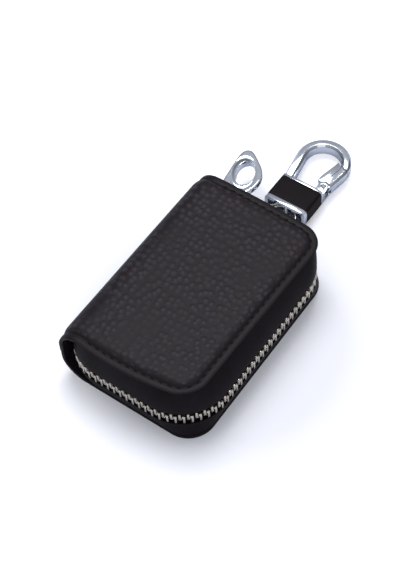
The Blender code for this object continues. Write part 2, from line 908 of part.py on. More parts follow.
def grommet_end_y():
    return washer_outer_y() - grommet_flange - clearance


def rivet_end_y():
    return grommet_end_y() - clearance - collar_length


def make_grommet():
    outer = flange_outer_y()
    inner_face = washer_outer_y()
    bore = grommet_hole_radius
    barrel = bore + grommet_wall
    end = grommet_end_y()
    profile = [(outer, bore), (outer, grommet_flange_radius),
               (outer - grommet_flange, grommet_flange_radius),
               (outer - grommet_flange, barrel), (end, barrel), (end, bore)]
    centre = (0.0, 0.0, hook_height)
    points, faces = turned(profile, centre, ring_steps)
    place("grommet", points, faces, nickel_finish, smooth=40)
    washer_bore = barrel + layer_gap
    profile = [(inner_face, washer_bore), (inner_face, grommet_flange_radius),
               (inner_face - grommet_flange, grommet_flange_radius),
               (inner_face - grommet_flange, washer_bore)]
    points, faces = turned(profile, centre, ring_steps)
    place("grommet_washer", points, faces, nickel_finish, smooth=40)


def make_swivel():
    centre = (0.0, 0.0, hook_height)
    collar_near = flange_outer_y() + clearance
    head_far = rivet_end_y() + collar_length
    points, faces = long_pin(centre, shaft_radius, head_far - collar_length / 2,
                             collar_near + collar_length / 2)
    body = place("swivel_post", points, faces, chrome_finish, smooth=40)
    points, faces = long_pin(centre, collar_radius, collar_near, collar_near + collar_length)
    combine(body, place("swivel_collar", points, faces, None), "UNION")
    points, faces = long_pin(centre, rivet_head_radius, rivet_end_y(), head_far)
    combine(body, place("swivel_rivet_head", points, faces, None), "UNION")
    eye_y = eye_centre_y()
    path = [Vector((0.0, eye_y + eye_radius * math.cos(2 * math.pi * k / ring_steps),
                    hook_height + eye_radius * math.sin(2 * math.pi * k / ring_steps)))
            for k in range(ring_steps)]
    points, faces = tube(path, eye_wire, wire_sides + 2, closed=True, up=(1, 0, 0))
    combine(body, place("swivel_eye", points, faces, None), "UNION")


def split_ring(name, centre, radius, origin, open_angle):
    # Two flat turns of one wire; its ends lie on either side of the step between them.
    climb = ring_wire + ring_turn_gap
    wire_radius = radius - ring_wire / 2
    step_turn = math.radians(50) / (2 * math.pi)
    start = step_turn / 2 + climb / wire_radius / (2 * math.pi)
    steps = int(ring_steps * (ring_turns - 2 * start))
    path = []
    turns = []
    for k in range(steps + 1):
        turn = start + (ring_turns - 2 * start) * k / steps
        angle = open_angle + 2 * math.pi * turn
        share = max(0.0, min(1.0, (turn - 1) / step_turn + fold_share))
        rise = climb * (share - fold_share)
        turns.append(turn)
        path.append(Vector((centre[0] + wire_radius * math.cos(angle),
                            centre[1] + wire_radius * math.sin(angle), centre[2] + rise)))
    apart = [(a - b).length for a, s in zip(path, turns) for b, t in zip(path, turns)
             if t - s > fold_share]
    print(name, "least gap between its turns, mm:", round((min(apart) - ring_wire) * 1000, 2))
    points, faces = tube(path, ring_wire, wire_sides)
    place(name, points, faces, steel_finish, smooth=60, origin=origin)


def link_ring_centre_y():
    inner_edge = eye_centre_y() - eye_radius + eye_wire / 2 + link_ring_play
    return inner_edge + link_ring_radius


def make_rings():
    eye = (0.0, eye_centre_y(), hook_height)
    split_ring("link_ring", (0.0, link_ring_centre_y(), hook_height), link_ring_radius,
                    eye, math.radians(20))
    lining_top = leather + 2 * layer_gap + board_thickness + lining_thickness
    tab_z = lining_top + layer_gap + tab_leather + clearance + ring_wire + ring_turn_gap / 2
    hole_half = ring_wire + ring_turn_gap / 2 + clearance
    outer_half = hole_half + tab_leather
    tab_end = half_length - gusset_leather - tab_end_from_back
    loop_y = tab_end - tab_tail - outer_half
    tab_floor = tab_z - outer_half
    outer = [(loop_y + outer_half * math.cos(a), tab_z + outer_half * math.sin(a))
             for a in [math.radians(15 * k) for k in range(2, 19)]]
    outer += [(tab_end, tab_floor), (tab_end, tab_floor + 2 * tab_leather),
              (loop_y + outer_half, tab_floor + 2 * tab_leather)]
    points, faces = prism(outer, -tab_width / 2, tab_width / 2, "yzx")
    tab = place("key_tab", points, faces, leather_finish)
    hole = [(loop_y + hole_half * math.cos(math.radians(22.5 * k)),
             tab_z + hole_half * math.sin(math.radians(22.5 * k))) for k in range(16)]
    points, faces = prism(hole, -tab_width / 2 - overrun, tab_width / 2 + overrun, "yzx")
    combine(tab, place("tab_hole_cutter", points, faces, None), "DIFFERENCE")
    ring_centre = (0.0, loop_y + ring_wire / 2 - key_ring_radius, tab_z)
    split_ring("key_ring", ring_centre, key_ring_radius, (0.0, loop_y, tab_z),
                    math.radians(250))


# Hook: a square tube with leather round it, and the loop with its sprung gate


def sleeve_ring(y, inset):
    radius = max(sleeve_corner - inset, clearance)
    loop = rounded_loop(sleeve_width / 2 - inset, sleeve_height / 2 - inset, radius, 2)
    return [Vector((a, y, hook_height + b)) for a, b in loop]


def sleeve_profile(name, profile, finish, origin=None):
    points, faces = loft([sleeve_ring(y, inset) for y, inset in profile], closed=True)
    return place(name, points, faces, finish, smooth=40, origin=origin)


def sleeve_pin_y():
    inner = link_ring_centre_y() + link_ring_radius - ring_wire
    return inner - clearance - sleeve_pin_radius


def sleeve_near_y():
    return sleeve_pin_y() - sleeve_pin_setback


def sleeve_far_y():
    return sleeve_near_y() + sleeve_length


def make_sleeve():
    recess = sleeve_leather_thickness + clearance + sleeve_leather_inset
    near, far = sleeve_near_y(), sleeve_far_y()
    body = sleeve_profile("hook_sleeve", [
        (near, 0.0), (near + near_rim, 0.0), (near + near_rim, recess), (far - far_rim, recess),
        (far - far_rim, 0.0), (far, 0.0), (far, sleeve_wall), (near, sleeve_wall)],
        chrome_finish, origin=(0.0, sleeve_pin_y(), hook_height))
    pin = (0.0, sleeve_pin_y(), 0.0)
    cavity = sleeve_height / 2 - sleeve_wall
    socket = cavity + pin_socket
    points, faces = upright_pin(pin, sleeve_pin_radius + pin_socket_gap, hook_height - socket,
                                hook_height + socket)
    combine(body, place("pin_socket_cutter", points, faces, None), "DIFFERENCE")
    grip = socket - clearance
    points, faces = upright_pin(pin, sleeve_pin_radius, hook_height - grip, hook_height + grip)
    place("sleeve_pin", points, faces, steel_finish, smooth=40)
    start = near + near_rim + clearance
    end = far - far_rim - clearance
    outside = sleeve_leather_inset
    inside = outside + sleeve_leather_thickness
    sleeve_profile("sleeve_leather", [(start, outside), (end, outside), (end, inside),
                                      (start, inside)], gusset_finish)


def loop_centre():
    return Vector((0.0, sleeve_far_y() + loop_centre_from_sleeve, hook_height))


def loop_path():
    # Up the left leg, round the eye and down the right leg, on the bar's middle line.
    centre = loop_centre()
    foot_y = sleeve_far_y() + clearance
    foot = Vector((loop_foot_half_width, foot_y - centre.y, 0.0))
    reach = foot.length
    lean = math.atan2(foot.x, -foot.y)
    tangent = lean + math.acos(loop_radius / reach)
    start = tangent - math.pi / 2
    left = Vector((-foot.x, foot.y, 0.0))
    join = Vector((-loop_radius * math.cos(start), loop_radius * math.sin(start), 0.0))
    path = [centre + left.lerp(join, k / 3) for k in range(3)]
    sweep = math.pi - 2 * start
    for k in range(ring_steps + 1):
        angle = math.pi - start - sweep * k / ring_steps
        path.append(centre + Vector((math.cos(angle), math.sin(angle), 0.0)) * loop_radius)
    right = Vector((foot.x, foot.y, 0.0))
    mirrored = Vector((-join.x, join.y, 0.0))
    path += [centre + mirrored.lerp(right, k / 3) for k in range(1, 4)]
    return path


def nose_line(offset):
    # The zigzag between the loop's nose and the gate, moved along the bar by offset.
    centre = loop_centre()
    inner = loop_radius - loop_band / 2 - overrun
    outer = loop_radius + loop_band / 2 + overrun
    middle = loop_radius - loop_band / 4

    def at(radius, along):
        angle = nose_angle + (along + offset) / loop_radius
        return centre.x + radius * math.cos(angle), centre.y + radius * math.sin(angle)

    return [at(inner, 2 * nose_point), at(middle - nose_point, 2 * nose_point),
            at(middle, 0.0), at(middle + nose_point, -nose_point), at(outer, -nose_point)]


def gate_pin_spot():
    return Vector((loop_foot_half_width, sleeve_far_y() + gate_pin_from_sleeve, hook_height))


def make_loop():
    centre = loop_centre()
    depth = loop_depth / 2
    low, high = hook_height - depth - overrun, hook_height + depth + overrun
    points, faces = flat_bar(loop_path(), loop_band, loop_depth, loop_edge)
    body = place("hook_loop", points, faces, chrome_finish, smooth=50)
    line = nose_line(nose_gap / 2)
    wide = sleeve_width
    gate_side = line + [(wide, line[-1][1]), (wide, sleeve_far_y() - overrun),
                        (gate_inner_low - overrun, sleeve_far_y() - overrun)]
    points, faces = prism(gate_side, low, high, "xyz")
    combine(body, place("loop_cutter", points, faces, None), "DIFFERENCE")
    inset = sleeve_wall + clearance
    block_x = sleeve_width / 2 - inset
    block_z = sleeve_height / 2 - inset
    block_y = sleeve_far_y() + 2 * clearance
    outline = [(-block_x, block_y - base_block_length), (block_x, block_y - base_block_length),
               (block_x, block_y), (-block_x, block_y)]
    points, faces = prism(outline, hook_height - block_z, hook_height + block_z, "xyz")
    combine(body, place("loop_base_block", points, faces, None), "UNION")
    pin = gate_pin_spot()
    seat_low = sleeve_far_y() + clearance
    seat_high = pin.y - gate_heel_radius - clearance
    seat = [(pin.x - lug_radius, seat_low), (pin.x + lug_radius, seat_low),
            (pin.x + lug_radius, seat_high), (pin.x - lug_radius, seat_high)]
    points, faces = prism(seat, hook_height - depth + layer_gap, hook_height + depth - layer_gap,
                          "xyz")
    combine(body, place("gate_seat", points, faces, None), "UNION")
    for name, sign in (("upper_lug", 1), ("lower_lug", -1)):
        lug = [(pin.x + lug_radius * math.cos(math.radians(a)),
                pin.y + lug_radius * math.sin(math.radians(a))) for a in range(0, 181, 20)]
        lug += [(pin.x - lug_radius, seat_low + layer_gap), (pin.x + lug_radius, seat_low + layer_gap)]
        faces_z = sorted((hook_height + sign * depth, hook_height + sign * (depth - lug_thickness)))
        points, faces = prism(lug, faces_z[0], faces_z[1], "xyz")
        combine(body, place(name, points, faces, None), "UNION")
    points, faces = upright_pin(pin, gate_pin_radius + layer_gap, low, high, 12)
    combine(body, place("gate_pin_cutter", points, faces, None), "DIFFERENCE")
    grip = depth - layer_gap
    points, faces = upright_pin(pin, gate_pin_radius, hook_height - grip, hook_height + grip, 12)
    place("gate_pin", points, faces, steel_finish, smooth=40)
    return centre


def make_gate():
    pin = gate_pin_spot()
    depth = loop_depth / 2
    low, high = hook_height - depth - overrun, hook_height + depth + overrun
    line = nose_line(-nose_gap / 2)
    start = pin.y
    points, faces = flat_bar(loop_path()[-12:], loop_band, loop_depth, loop_edge)
    body = place("hook_gate", points, faces, chrome_finish, smooth=50, origin=tuple(pin))
    bar = [(gate_inner_low, start + gate_heel_radius), (gate_inner_low, start + lug_radius * 2),
           (gate_inner_high, line[1][1] - clearance), (loop_radius, line[2][1] - overrun),
           (loop_foot_half_width, start + gate_heel_radius)]
    points, faces = prism(bar, hook_height - gate_bar_depth / 2, hook_height + gate_bar_depth / 2,
                          "xyz")
    combine(body, place("gate_bar", points, faces, None), "UNION")
    wide = sleeve_width
    above = line + [(wide, line[-1][1]), (wide, loop_centre().y + wide),
                    (-wide, loop_centre().y + wide), (-wide, line[0][1])]
    points, faces = prism(above, low, high, "xyz")
    combine(body, place("gate_top_cutter", points, faces, None), "DIFFERENCE")
    clear = lug_radius + clearance
    points, faces = upright_pin(pin, clear, low, high, ring_steps)
    combine(body, place("gate_lug_cutter", points, faces, None), "DIFFERENCE")
    foot = [(-wide, sleeve_far_y() - overrun), (wide, sleeve_far_y() - overrun), (wide, pin.y),
            (-wide, pin.y)]
    points, faces = prism(foot, low, high, "xyz")
    combine(body, place("gate_foot_cutter", points, faces, None), "DIFFERENCE")
    heel_half = depth - lug_thickness - clearance
    heel = [(pin.x + gate_heel_radius * math.cos(math.radians(a)),
             pin.y + gate_heel_radius * math.sin(math.radians(a))) for a in range(180, 361, 20)]
    heel += [(pin.x + gate_heel_radius, pin.y + clear + overrun / 2),
             (pin.x - gate_heel_radius, pin.y + clear + overrun / 2)]
    points, faces = prism(heel, hook_height - heel_half, hook_height + heel_half, "xyz")
    combine(body, place("gate_heel", points, faces, None), "UNION")
    points, faces = upright_pin(pin, gate_pin_radius + layer_gap, low, high, 12)
    combine(body, place("gate_bore_cutter", points, faces, None), "DIFFERENCE")
    slot_half = spring_pitch * spring_turns / 2 + spring_wire / 2 + layer_gap
    slot_radius = gate_heel_radius * 2
    slot = [(pin.x - slot_radius, pin.y - slot_radius), (pin.x + slot_radius, pin.y - slot_radius),
            (pin.x + slot_radius, pin.y + gate_heel_radius - layer_gap),
            (pin.x - slot_radius, pin.y + gate_heel_radius - layer_gap)]
    points, faces = prism(slot, hook_height - slot_half, hook_height + slot_half, "xyz")
    combine(body, place("gate_slot_cutter", points, faces, None), "DIFFERENCE")


def make_spring():
    pin = gate_pin_spot()
    radius = gate_pin_radius + layer_gap + spring_wire / 2
    steps = int(ring_steps * spring_turns / 2)
    path = []
    for k in range(steps + 1):
        angle = 2 * math.pi * spring_turns * k / steps
        rise = spring_pitch * spring_turns * (k / steps - 0.5)
        path.append(Vector((pin.x + radius * math.cos(angle), pin.y + radius * math.sin(angle),
                            hook_height + rise)))
    points, faces = tube(path, spring_wire, wire_sides)
    place("gate_spring", points, faces, steel_finish, smooth=60)


def main():
    remove_all()
    make_covers()
    make_spine()
    make_layers()
    make_walls()
    make_zip()
    make_slider()
    make_bail()
    make_pull()
    make_grommet()
    make_swivel()
    make_rings()
    make_sleeve()
    make_loop()
    make_gate()
    make_spring()


main()
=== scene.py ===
import math
import bmesh
import bpy
from mathutils import Matrix, Vector
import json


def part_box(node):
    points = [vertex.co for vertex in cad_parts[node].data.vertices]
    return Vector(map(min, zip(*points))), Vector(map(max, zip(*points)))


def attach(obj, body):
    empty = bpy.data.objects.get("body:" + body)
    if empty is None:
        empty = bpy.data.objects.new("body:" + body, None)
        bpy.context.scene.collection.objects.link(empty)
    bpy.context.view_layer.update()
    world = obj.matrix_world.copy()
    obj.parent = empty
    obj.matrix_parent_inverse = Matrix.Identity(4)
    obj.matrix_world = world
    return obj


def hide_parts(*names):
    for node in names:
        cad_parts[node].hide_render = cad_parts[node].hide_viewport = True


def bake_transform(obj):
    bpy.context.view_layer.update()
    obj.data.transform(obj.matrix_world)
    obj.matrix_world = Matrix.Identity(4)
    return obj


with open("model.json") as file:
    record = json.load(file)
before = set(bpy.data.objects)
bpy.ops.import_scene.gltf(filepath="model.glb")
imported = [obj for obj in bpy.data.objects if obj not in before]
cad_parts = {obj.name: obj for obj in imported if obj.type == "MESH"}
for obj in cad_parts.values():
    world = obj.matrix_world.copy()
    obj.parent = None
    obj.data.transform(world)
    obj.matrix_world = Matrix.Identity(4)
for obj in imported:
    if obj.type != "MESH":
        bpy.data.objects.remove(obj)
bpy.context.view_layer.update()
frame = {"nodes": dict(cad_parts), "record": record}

mm = 0.001


# Short helpers for choosing, editing and finishing pieces.

def clearSelection():
    if bpy.context.object and bpy.context.object.mode != "OBJECT":
        bpy.ops.object.mode_set(mode="OBJECT")
    bpy.ops.object.select_all(action="DESELECT")


def makeActive(piece):
    clearSelection()
    piece.select_set(True)
    bpy.context.view_layer.objects.active = piece


def editPiece(piece, kind="FACE"):
    makeActive(piece)
    bpy.ops.object.mode_set(mode="EDIT")
    bpy.ops.mesh.select_mode(type=kind)
    bpy.ops.mesh.select_all(action="DESELECT")


def endEdit():
    bpy.ops.object.mode_set(mode="OBJECT")


def pickFaces(piece, test):  # test gets centre and normal
    mesh = bmesh.from_edit_mesh(piece.data)
    for face in mesh.faces:
        face.select_set(bool(test(face.calc_center_median(), face.normal)))
    bmesh.update_edit_mesh(piece.data)


def pickEdges(piece, test):  # test gets the two ends
    mesh = bmesh.from_edit_mesh(piece.data)
    for edge in mesh.edges:
        edge.select_set(bool(test(edge.verts[0].co, edge.verts[1].co)))
    bmesh.update_edit_mesh(piece.data)


def pickVerts(piece, test):
    mesh = bmesh.from_edit_mesh(piece.data)
    for vert in mesh.verts:
        vert.select_set(bool(test(vert.co)))
    mesh.select_flush(True)
    bmesh.update_edit_mesh(piece.data)


def settle(piece):  # place goes into the mesh
    makeActive(piece)
    bpy.ops.object.transform_apply(location=True, rotation=True, scale=True)


def applyModifier(piece, kind, **settings):
    makeActive(piece)
    modifier = piece.modifiers.new(kind.lower(), kind)
    for key, value in settings.items():
        setattr(modifier, key, value)
    bpy.ops.object.modifier_apply(modifier=modifier.name)


def smoothShade(piece, degrees):
    makeActive(piece)
    bpy.ops.object.shade_smooth_by_angle(angle=math.radians(degrees))


def dress(piece, material):
    piece.data.materials.clear()
    piece.data.materials.append(material)


def joinPieces(pieces, name):
    clearSelection()
    for piece in pieces:
        piece.select_set(True)
    bpy.context.view_layer.objects.active = pieces[0]
    if len(pieces) > 1:
        bpy.ops.object.join()
    pieces[0].name = name
    return pieces[0]


def copyTo(piece, place):
    # A copy with its own mesh, moved by a matrix. A mirrored one has its faces turned back.
    copy = bpy.data.objects.new(piece.name + "Copy", piece.data.copy())
    bpy.context.scene.collection.objects.link(copy)
    copy.data.transform(place)
    if place.determinant() < 0:
        copy.data.flip_normals()
    return copy


def shapeNew(name, size, place):  # the piece that was just added
    piece = bpy.context.object
    piece.name = name
    piece.scale = size
    piece.location = place
    settle(piece)
    return piece


def cutAcross(axis, low, high, spacing):
    # Even cuts square to an axis, through all of the piece in edit mode.
    steps = int((high - low) / spacing)
    for k in range(1, steps):
        at, way = [0.0, 0.0, 0.0], [0.0, 0.0, 0.0]
        at[axis], way[axis] = low + (high - low) * k / steps, 1.0
        bpy.ops.mesh.select_all(action="SELECT")
        bpy.ops.mesh.bisect(plane_co=at, plane_no=way)


def boxEnds(node):
    return (Vector(corner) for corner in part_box(node))


def clamp(value, low=0.0, high=1.0):
    return max(low, min(high, value))


# What each node of the frame belongs to.

record = frame["record"]
nodeBody = {node: body for body, nodes in record["behaviour"]["bodies"].items() for node in nodes}
nodeSlot = {part["node"]: part["material_slot"] for part in record["subparts"]}


def standIn(piece, node):
    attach(piece, nodeBody[node])
    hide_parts(node)


# Colours and textures of each finish. A bump is its strength and its depth.

def shade(colour, share):
    return tuple(c * share for c in colour)


# The pebble tops' colour holds a painted highlight, and the gaps' colour holds painted shade, over the
# hide's own tone.
leatherLook = {
    "field": (0.0292, 0.0246, 0.0314), "gapColourAndShade": (0.0116, 0.0088, 0.0119),
    "border": (0.0090, 0.0066, 0.0088), "reddish": (1.10, 0.96, 0.98), "bluish": (0.94, 1.02, 1.06),
    "tint": 0.6, "tintScale": 130.0, "tintEdge": (0.40, 0.60), "pebbleSize": 2.55 * mm,
    "softness": 0.22, "scatter": 0.62, "dome": (0.42, 0.90), "patchScale": 90.0,
    "patchEdge": (0.35, 0.60), "faintest": 0.20, "poreSize": 0.35 * mm,
    "poreBump": (0.25, 0.04 * mm), "pebbleBump": (0.72, 0.26 * mm),
    "roughness": (0.42, 0.62), "gloss": 0.16,
}
wallLook = {"colour": (0.0068, 0.0040, 0.0062), "wearScale": 160.0, "wearShades": (0.7, 1.3),
            "grainSize": 0.7 * mm, "bump": (0.35, 0.06 * mm), "roughness": 0.58, "gloss": 0.11}
clothLook = {"waveShare": 0.32, "wobble": 0.4, "shade": 0.5, "bump": (0.5, 0.08 * mm),
             "roughness": 0.85, "gloss": 0.2}
# Each cloth has its colour and the width of its thread.
clothColours = {
    "blackCloth": ((0.0190, 0.0160, 0.0185), 0.35 * mm),
    "stitchThread": ((0.0060, 0.0050, 0.0055), 0.2 * mm),
    "boardCard": ((0.30, 0.25, 0.19), 0.5 * mm),
    "foamPad": ((0.55, 0.55, 0.53), 0.8 * mm),
}
chromeColour, steelColour = (0.67, 0.715, 0.815), (0.64, 0.62, 0.59)
metalLook = {"hazeScale": 220.0, "hazeEdge": (0.30, 0.62), "shine": (0.7, 1.5),
             "scratchScale": 1800.0, "scratchDepth": 0.02 * mm}
# Each metal has its colour, its worn colour, its roughness and the strength of its scratches.
metalColours = {
    "nickel": ((0.74, 0.69, 0.62), (0.58, 0.53, 0.47), 0.24, 0.1),
    "chrome": (chromeColour, shade(chromeColour, 0.94), 0.09, 0.02),
    "steelWire": (steelColour, shade(steelColour, 0.85), 0.2, 0.05),
    "satin": ((0.66, 0.72, 0.86), (0.58, 0.63, 0.76), 0.42, 0.05),
}


def setInputs(tree, node, inputs):  # another node's socket is linked, a plain value is set
    for key, value in inputs.items():
        if isinstance(value, bpy.types.NodeSocket):
            tree.links.new(value, node.inputs[key])
        else:
            node.inputs[key].default_value = value


def addNode(tree, kind, inputs=None, **settings):
    node = tree.nodes.new(kind)
    for key, value in settings.items():
        setattr(node, key, value)
    setInputs(tree, node, inputs or {})
    return node


def newMaterial(name):
    material = bpy.data.materials.new(name)
    material.use_nodes = True
    tree = material.node_tree
    tree.nodes.clear()
    shader = addNode(tree, "ShaderNodeBsdfPrincipled")
    addNode(tree, "ShaderNodeOutputMaterial", {"Surface": shader.outputs["BSDF"]})
    return material, tree, shader


def objectPlace(tree):
    return addNode(tree, "ShaderNodeTexCoord").outputs["Object"]


def addNoise(tree, place, scale, detail=2.0):
    inputs = {"Vector": place, "Scale": scale, "Detail": detail}
    return addNode(tree, "ShaderNodeTexNoise", inputs).outputs["Fac"]


def addBump(tree, height, strength, distance, under=None):
    bump = addNode(tree, "ShaderNodeBump", {"Height": height, "Strength": strength, "Distance": distance})
    if under:
        tree.links.new(under, bump.inputs["Normal"])
    return bump.outputs["Normal"]


def addProduct(tree, first, second):
    return addNode(tree, "ShaderNodeMath", {0: first, 1: second}, operation="MULTIPLY").outputs[0]


def addRange(tree, value, start=(0.0, 1.0), end=(0.0, 1.0), kind="LINEAR"):
    inputs = {"Value": value, "From Min": start[0], "From Max": start[1],
              "To Min": end[0], "To Max": end[1]}
    return addNode(tree, "ShaderNodeMapRange", inputs, interpolation_type=kind).outputs["Result"]


def colourSteps(tree, value, low, high, edge=(0.3, 0.7)):
    ramp = addNode(tree, "ShaderNodeValToRGB", {"Fac": value})
    for step, place, colour in zip(ramp.color_ramp.elements, edge, (low, high)):
        step.position = place
        step.color = (*colour, 1)
    return ramp.outputs["Color"]


def addMix(tree, share, first, second, blend="MIX"):
    inputs = {"Factor": share, "A": first, "B": second}
    return addNode(tree, "ShaderNodeMix", inputs, data_type="RGBA", blend_type=blend).outputs["Result"]


def makeLeather(name, look):
    # Round tops laid along the hide. They fade in patches, and the pebbled mark ends them at the hem.
    material, tree, shader = newMaterial(name)
    place = objectPlace(tree)
    hide = addNode(tree, "ShaderNodeAttribute", attribute_name="hidePlace").outputs["Vector"]
    mask = addNode(tree, "ShaderNodeAttribute", attribute_name="pebbled").outputs["Fac"]
    cells = addNode(tree, "ShaderNodeTexVoronoi", {
        "Vector": hide, "Scale": 1.0 / look["pebbleSize"], "Smoothness": look["softness"],
        "Randomness": look["scatter"]}, voronoi_dimensions="2D", feature="SMOOTH_F1")
    inputs = {0: 1.0, 1: cells.outputs["Distance"]}
    height = addNode(tree, "ShaderNodeMath", inputs, operation="SUBTRACT").outputs[0]
    dome = addRange(tree, height, look["dome"], kind="SMOOTHSTEP")
    patches = addNoise(tree, place, look["patchScale"])
    firmness = addRange(tree, patches, look["patchEdge"], (look["faintest"], 1.0))
    raised = addProduct(tree, dome, addProduct(tree, firmness, mask))
    # Raised pebble tops take the lighter colour, and the gaps and faint patches the darker one: painted
    # highlight and painted shade.
    toneAndShading = colourSteps(tree, raised, look["gapColourAndShade"], look["field"], edge=(0.0, 1.0))
    tints = addNoise(tree, hide, look["tintScale"], detail=1.0)
    shades = colourSteps(tree, tints, look["reddish"], look["bluish"], look["tintEdge"])
    blotched = addMix(tree, look["tint"], toneAndShading, shades, blend="MULTIPLY")
    pores = addNoise(tree, place, 1.0 / look["poreSize"], detail=3.0)
    fine = addBump(tree, pores, *look["poreBump"])
    setInputs(tree, shader, {
        "Base Color": addMix(tree, mask, (*look["border"], 1), blotched),
        "Roughness": addRange(tree, pores, end=look["roughness"]),
        "Normal": addBump(tree, raised, *look["pebbleBump"], under=fine),
        "Specular IOR Level": look["gloss"]})
    return material


def makeWallLeather(name, look):
    material, tree, shader = newMaterial(name)
    place = objectPlace(tree)
    grain = addNode(tree, "ShaderNodeTexVoronoi", {"Vector": place, "Scale": 1.0 / look["grainSize"]})
    wear = addNoise(tree, place, look["wearScale"], detail=3.0)
    dark, light = (shade(look["colour"], share) for share in look["wearShades"])
    setInputs(tree, shader, {
        "Base Color": colourSteps(tree, wear, dark, light),
        "Normal": addBump(tree, grain.outputs["Distance"], *look["bump"]),
        "Roughness": look["roughness"], "Specular IOR Level": look["gloss"]})
    return material


def makeCloth(name, colour, thread):
    # Two waves across one another.
    look = clothLook
    material, tree, shader = newMaterial(name)
    place = objectPlace(tree)
    waves = []
    for turn in ((0, 0, math.radians(45)), (math.radians(45), 0, math.radians(-45))):
        turned = addNode(tree, "ShaderNodeMapping", {"Vector": place, "Rotation": turn}).outputs["Vector"]
        inputs = {"Vector": turned, "Scale": look["waveShare"] / thread, "Distortion": look["wobble"]}
        waves.append(addNode(tree, "ShaderNodeTexWave", inputs).outputs["Fac"])
    weave = addProduct(tree, *waves)
    setInputs(tree, shader, {
        "Base Color": colourSteps(tree, weave, shade(colour, look["shade"]), colour, edge=(0.1, 0.7)),
        "Normal": addBump(tree, weave, *look["bump"]),
        "Roughness": look["roughness"], "Specular IOR Level": look["gloss"]})
    return material


def makeMetal(name, colour, worn, roughness, scratch):
    look = metalLook
    material, tree, shader = newMaterial(name)
    place = objectPlace(tree)
    haze = addNoise(tree, place, look["hazeScale"], detail=4.0)
    scratches = addNoise(tree, place, look["scratchScale"])
    setInputs(tree, shader, {
        "Base Color": colourSteps(tree, haze, worn, colour, look["hazeEdge"]),
        "Roughness": addRange(tree, haze, end=shade(look["shine"], roughness)),
        "Normal": addBump(tree, scratches, scratch, look["scratchDepth"]),
        "Metallic": 1.0})
    return material


coverLeather = makeLeather("coverLeather", leatherLook)
wallLeather = makeWallLeather("wallLeather", wallLook)
cloths = {name: makeCloth(name, *look) for name, look in clothColours.items()}
metals = {name: makeMetal(name, *look) for name, look in metalColours.items()}
print("finishes are ready")

slotFinish = {
    "leather": coverLeather, "gusset": wallLeather, "board": cloths["boardCard"],
    "padding": cloths["foamPad"], "lining": cloths["blackCloth"], "nickel": metals["nickel"],
    "chrome": metals["chrome"], "steel": metals["steelWire"],
}
for name, slot in nodeSlot.items():
    node = frame["nodes"][name]
    dress(node, slotFinish[slot])
    node.data.shade_smooth()
dress(frame["nodes"]["gate_pin"], metals["chrome"])


# Form of the case, the same sizes as the frame's.

caseForm = {
    "halfWidth": 26.7 * mm, "halfLength": 39.8 * mm, "height": 25.4 * mm, "bend": 9.0 * mm,
    "hemRadius": 8.5 * mm, "footRadius": 9.8 * mm, "footOut": 0.5 * mm, "leather": 1.2 * mm,
    "zipLevel": 11.0 * mm, "wallTop": 23.0 * mm, "wallFoot": 1.5 * mm,
}
bendX = -caseForm["halfWidth"] + caseForm["bend"]
# How far the lid's edge is drawn in: the side in front and behind, then each end's bow and draw.
lidForm = {"side": (1.5 * mm, 0.1 * mm), "front": (1.2 * mm, 3.4 * mm), "back": (0.2 * mm, 1.6 * mm)}
tiny = 1e-6


def drawnIn(x, y, share):
    # The closed lid's edge bows out in its middle and draws in towards the zip.
    across = clamp((x - bendX) / (caseForm["halfWidth"] - bendX))
    bow, draw = lidForm["front"] if y < 0 else lidForm["back"]
    change = 4 * bow * across * (1 - across) - draw * across ** 2
    near, far = lidForm["side"]
    side = near + (far - near) * (0.5 + 0.5 * y / caseForm["halfLength"])
    return x - side * across * share, y * (1 + change / caseForm["halfLength"] * share)


def drawnBack(x, y):  # undoes drawnIn for a point of the lid
    outX, outY = x, y
    for _ in range(4):
        nextX, nextY = drawnIn(outX, outY, 1.0)
        outX, outY = outX + x - nextX, outY + y - nextY
    return outX, outY


# Side walls and zip tapes: half width, half length and corner at three levels, then the curled
# ends' middle, radius and turn. The gap at the zip widens where the slider runs.

wallForm = {
    "lid": (25.8 * mm, 38.9 * mm, 7.6 * mm), "zip": (28.9 * mm, 41.3 * mm, 18.0 * mm),
    "foot": (27.0 * mm, 39.6 * mm, 9.8 * mm), "spineRadius": 7.5 * mm,
    "front": (-12.3 * mm, 15.0 * mm, math.radians(50)), "back": (-18.5 * mm, 8.0 * mm, math.radians(42)),
    "gap": 2.95 * mm, "sliderGap": 0.65 * mm, "sliderFrom": 40 * mm, "sliderEase": 6 * mm,
    "thickness": 0.9 * mm, "inset": 0.0, "rim": 0.25 * mm, "columns": 180,
    "upperSwell": 0.12 * mm, "lowerSwell": 0.1 * mm,
}
tapeForm = {"thickness": 0.5 * mm, "inset": 1.25 * mm, "rim": 0.1 * mm, "edge": 0.7 * mm,
            "reach": 6.0 * mm}


def wallPlan(z, inset):
    # Rounded plan of the side walls, widest at the zip.
    level = caseForm["zipLevel"]
    end, limit = ("lid", caseForm["wallTop"]) if z >= level else ("foot", caseForm["wallFoot"])
    ease = math.sin(clamp((limit - z) / (limit - level)) * math.pi / 2)
    pairs = zip(wallForm[end], wallForm["zip"])
    x, y, radius = (first + (widest - first) * ease - inset for first, widest in pairs)
    plan = {"x": x, "y": y, "r": radius}
    for side in ("front", "back"):
        curlX, curlR, turn = wallForm[side]
        plan[side] = (curlX, curlR - inset, turn)
    return plan


def planSide(plan, side):  # lengths of the straight, the corner, the end and the curl
    curlX, curlR, turn = plan[side]
    return (plan["y"] - plan["r"], plan["r"] * math.pi / 2, plan["x"] - plan["r"] - curlX, curlR * turn)


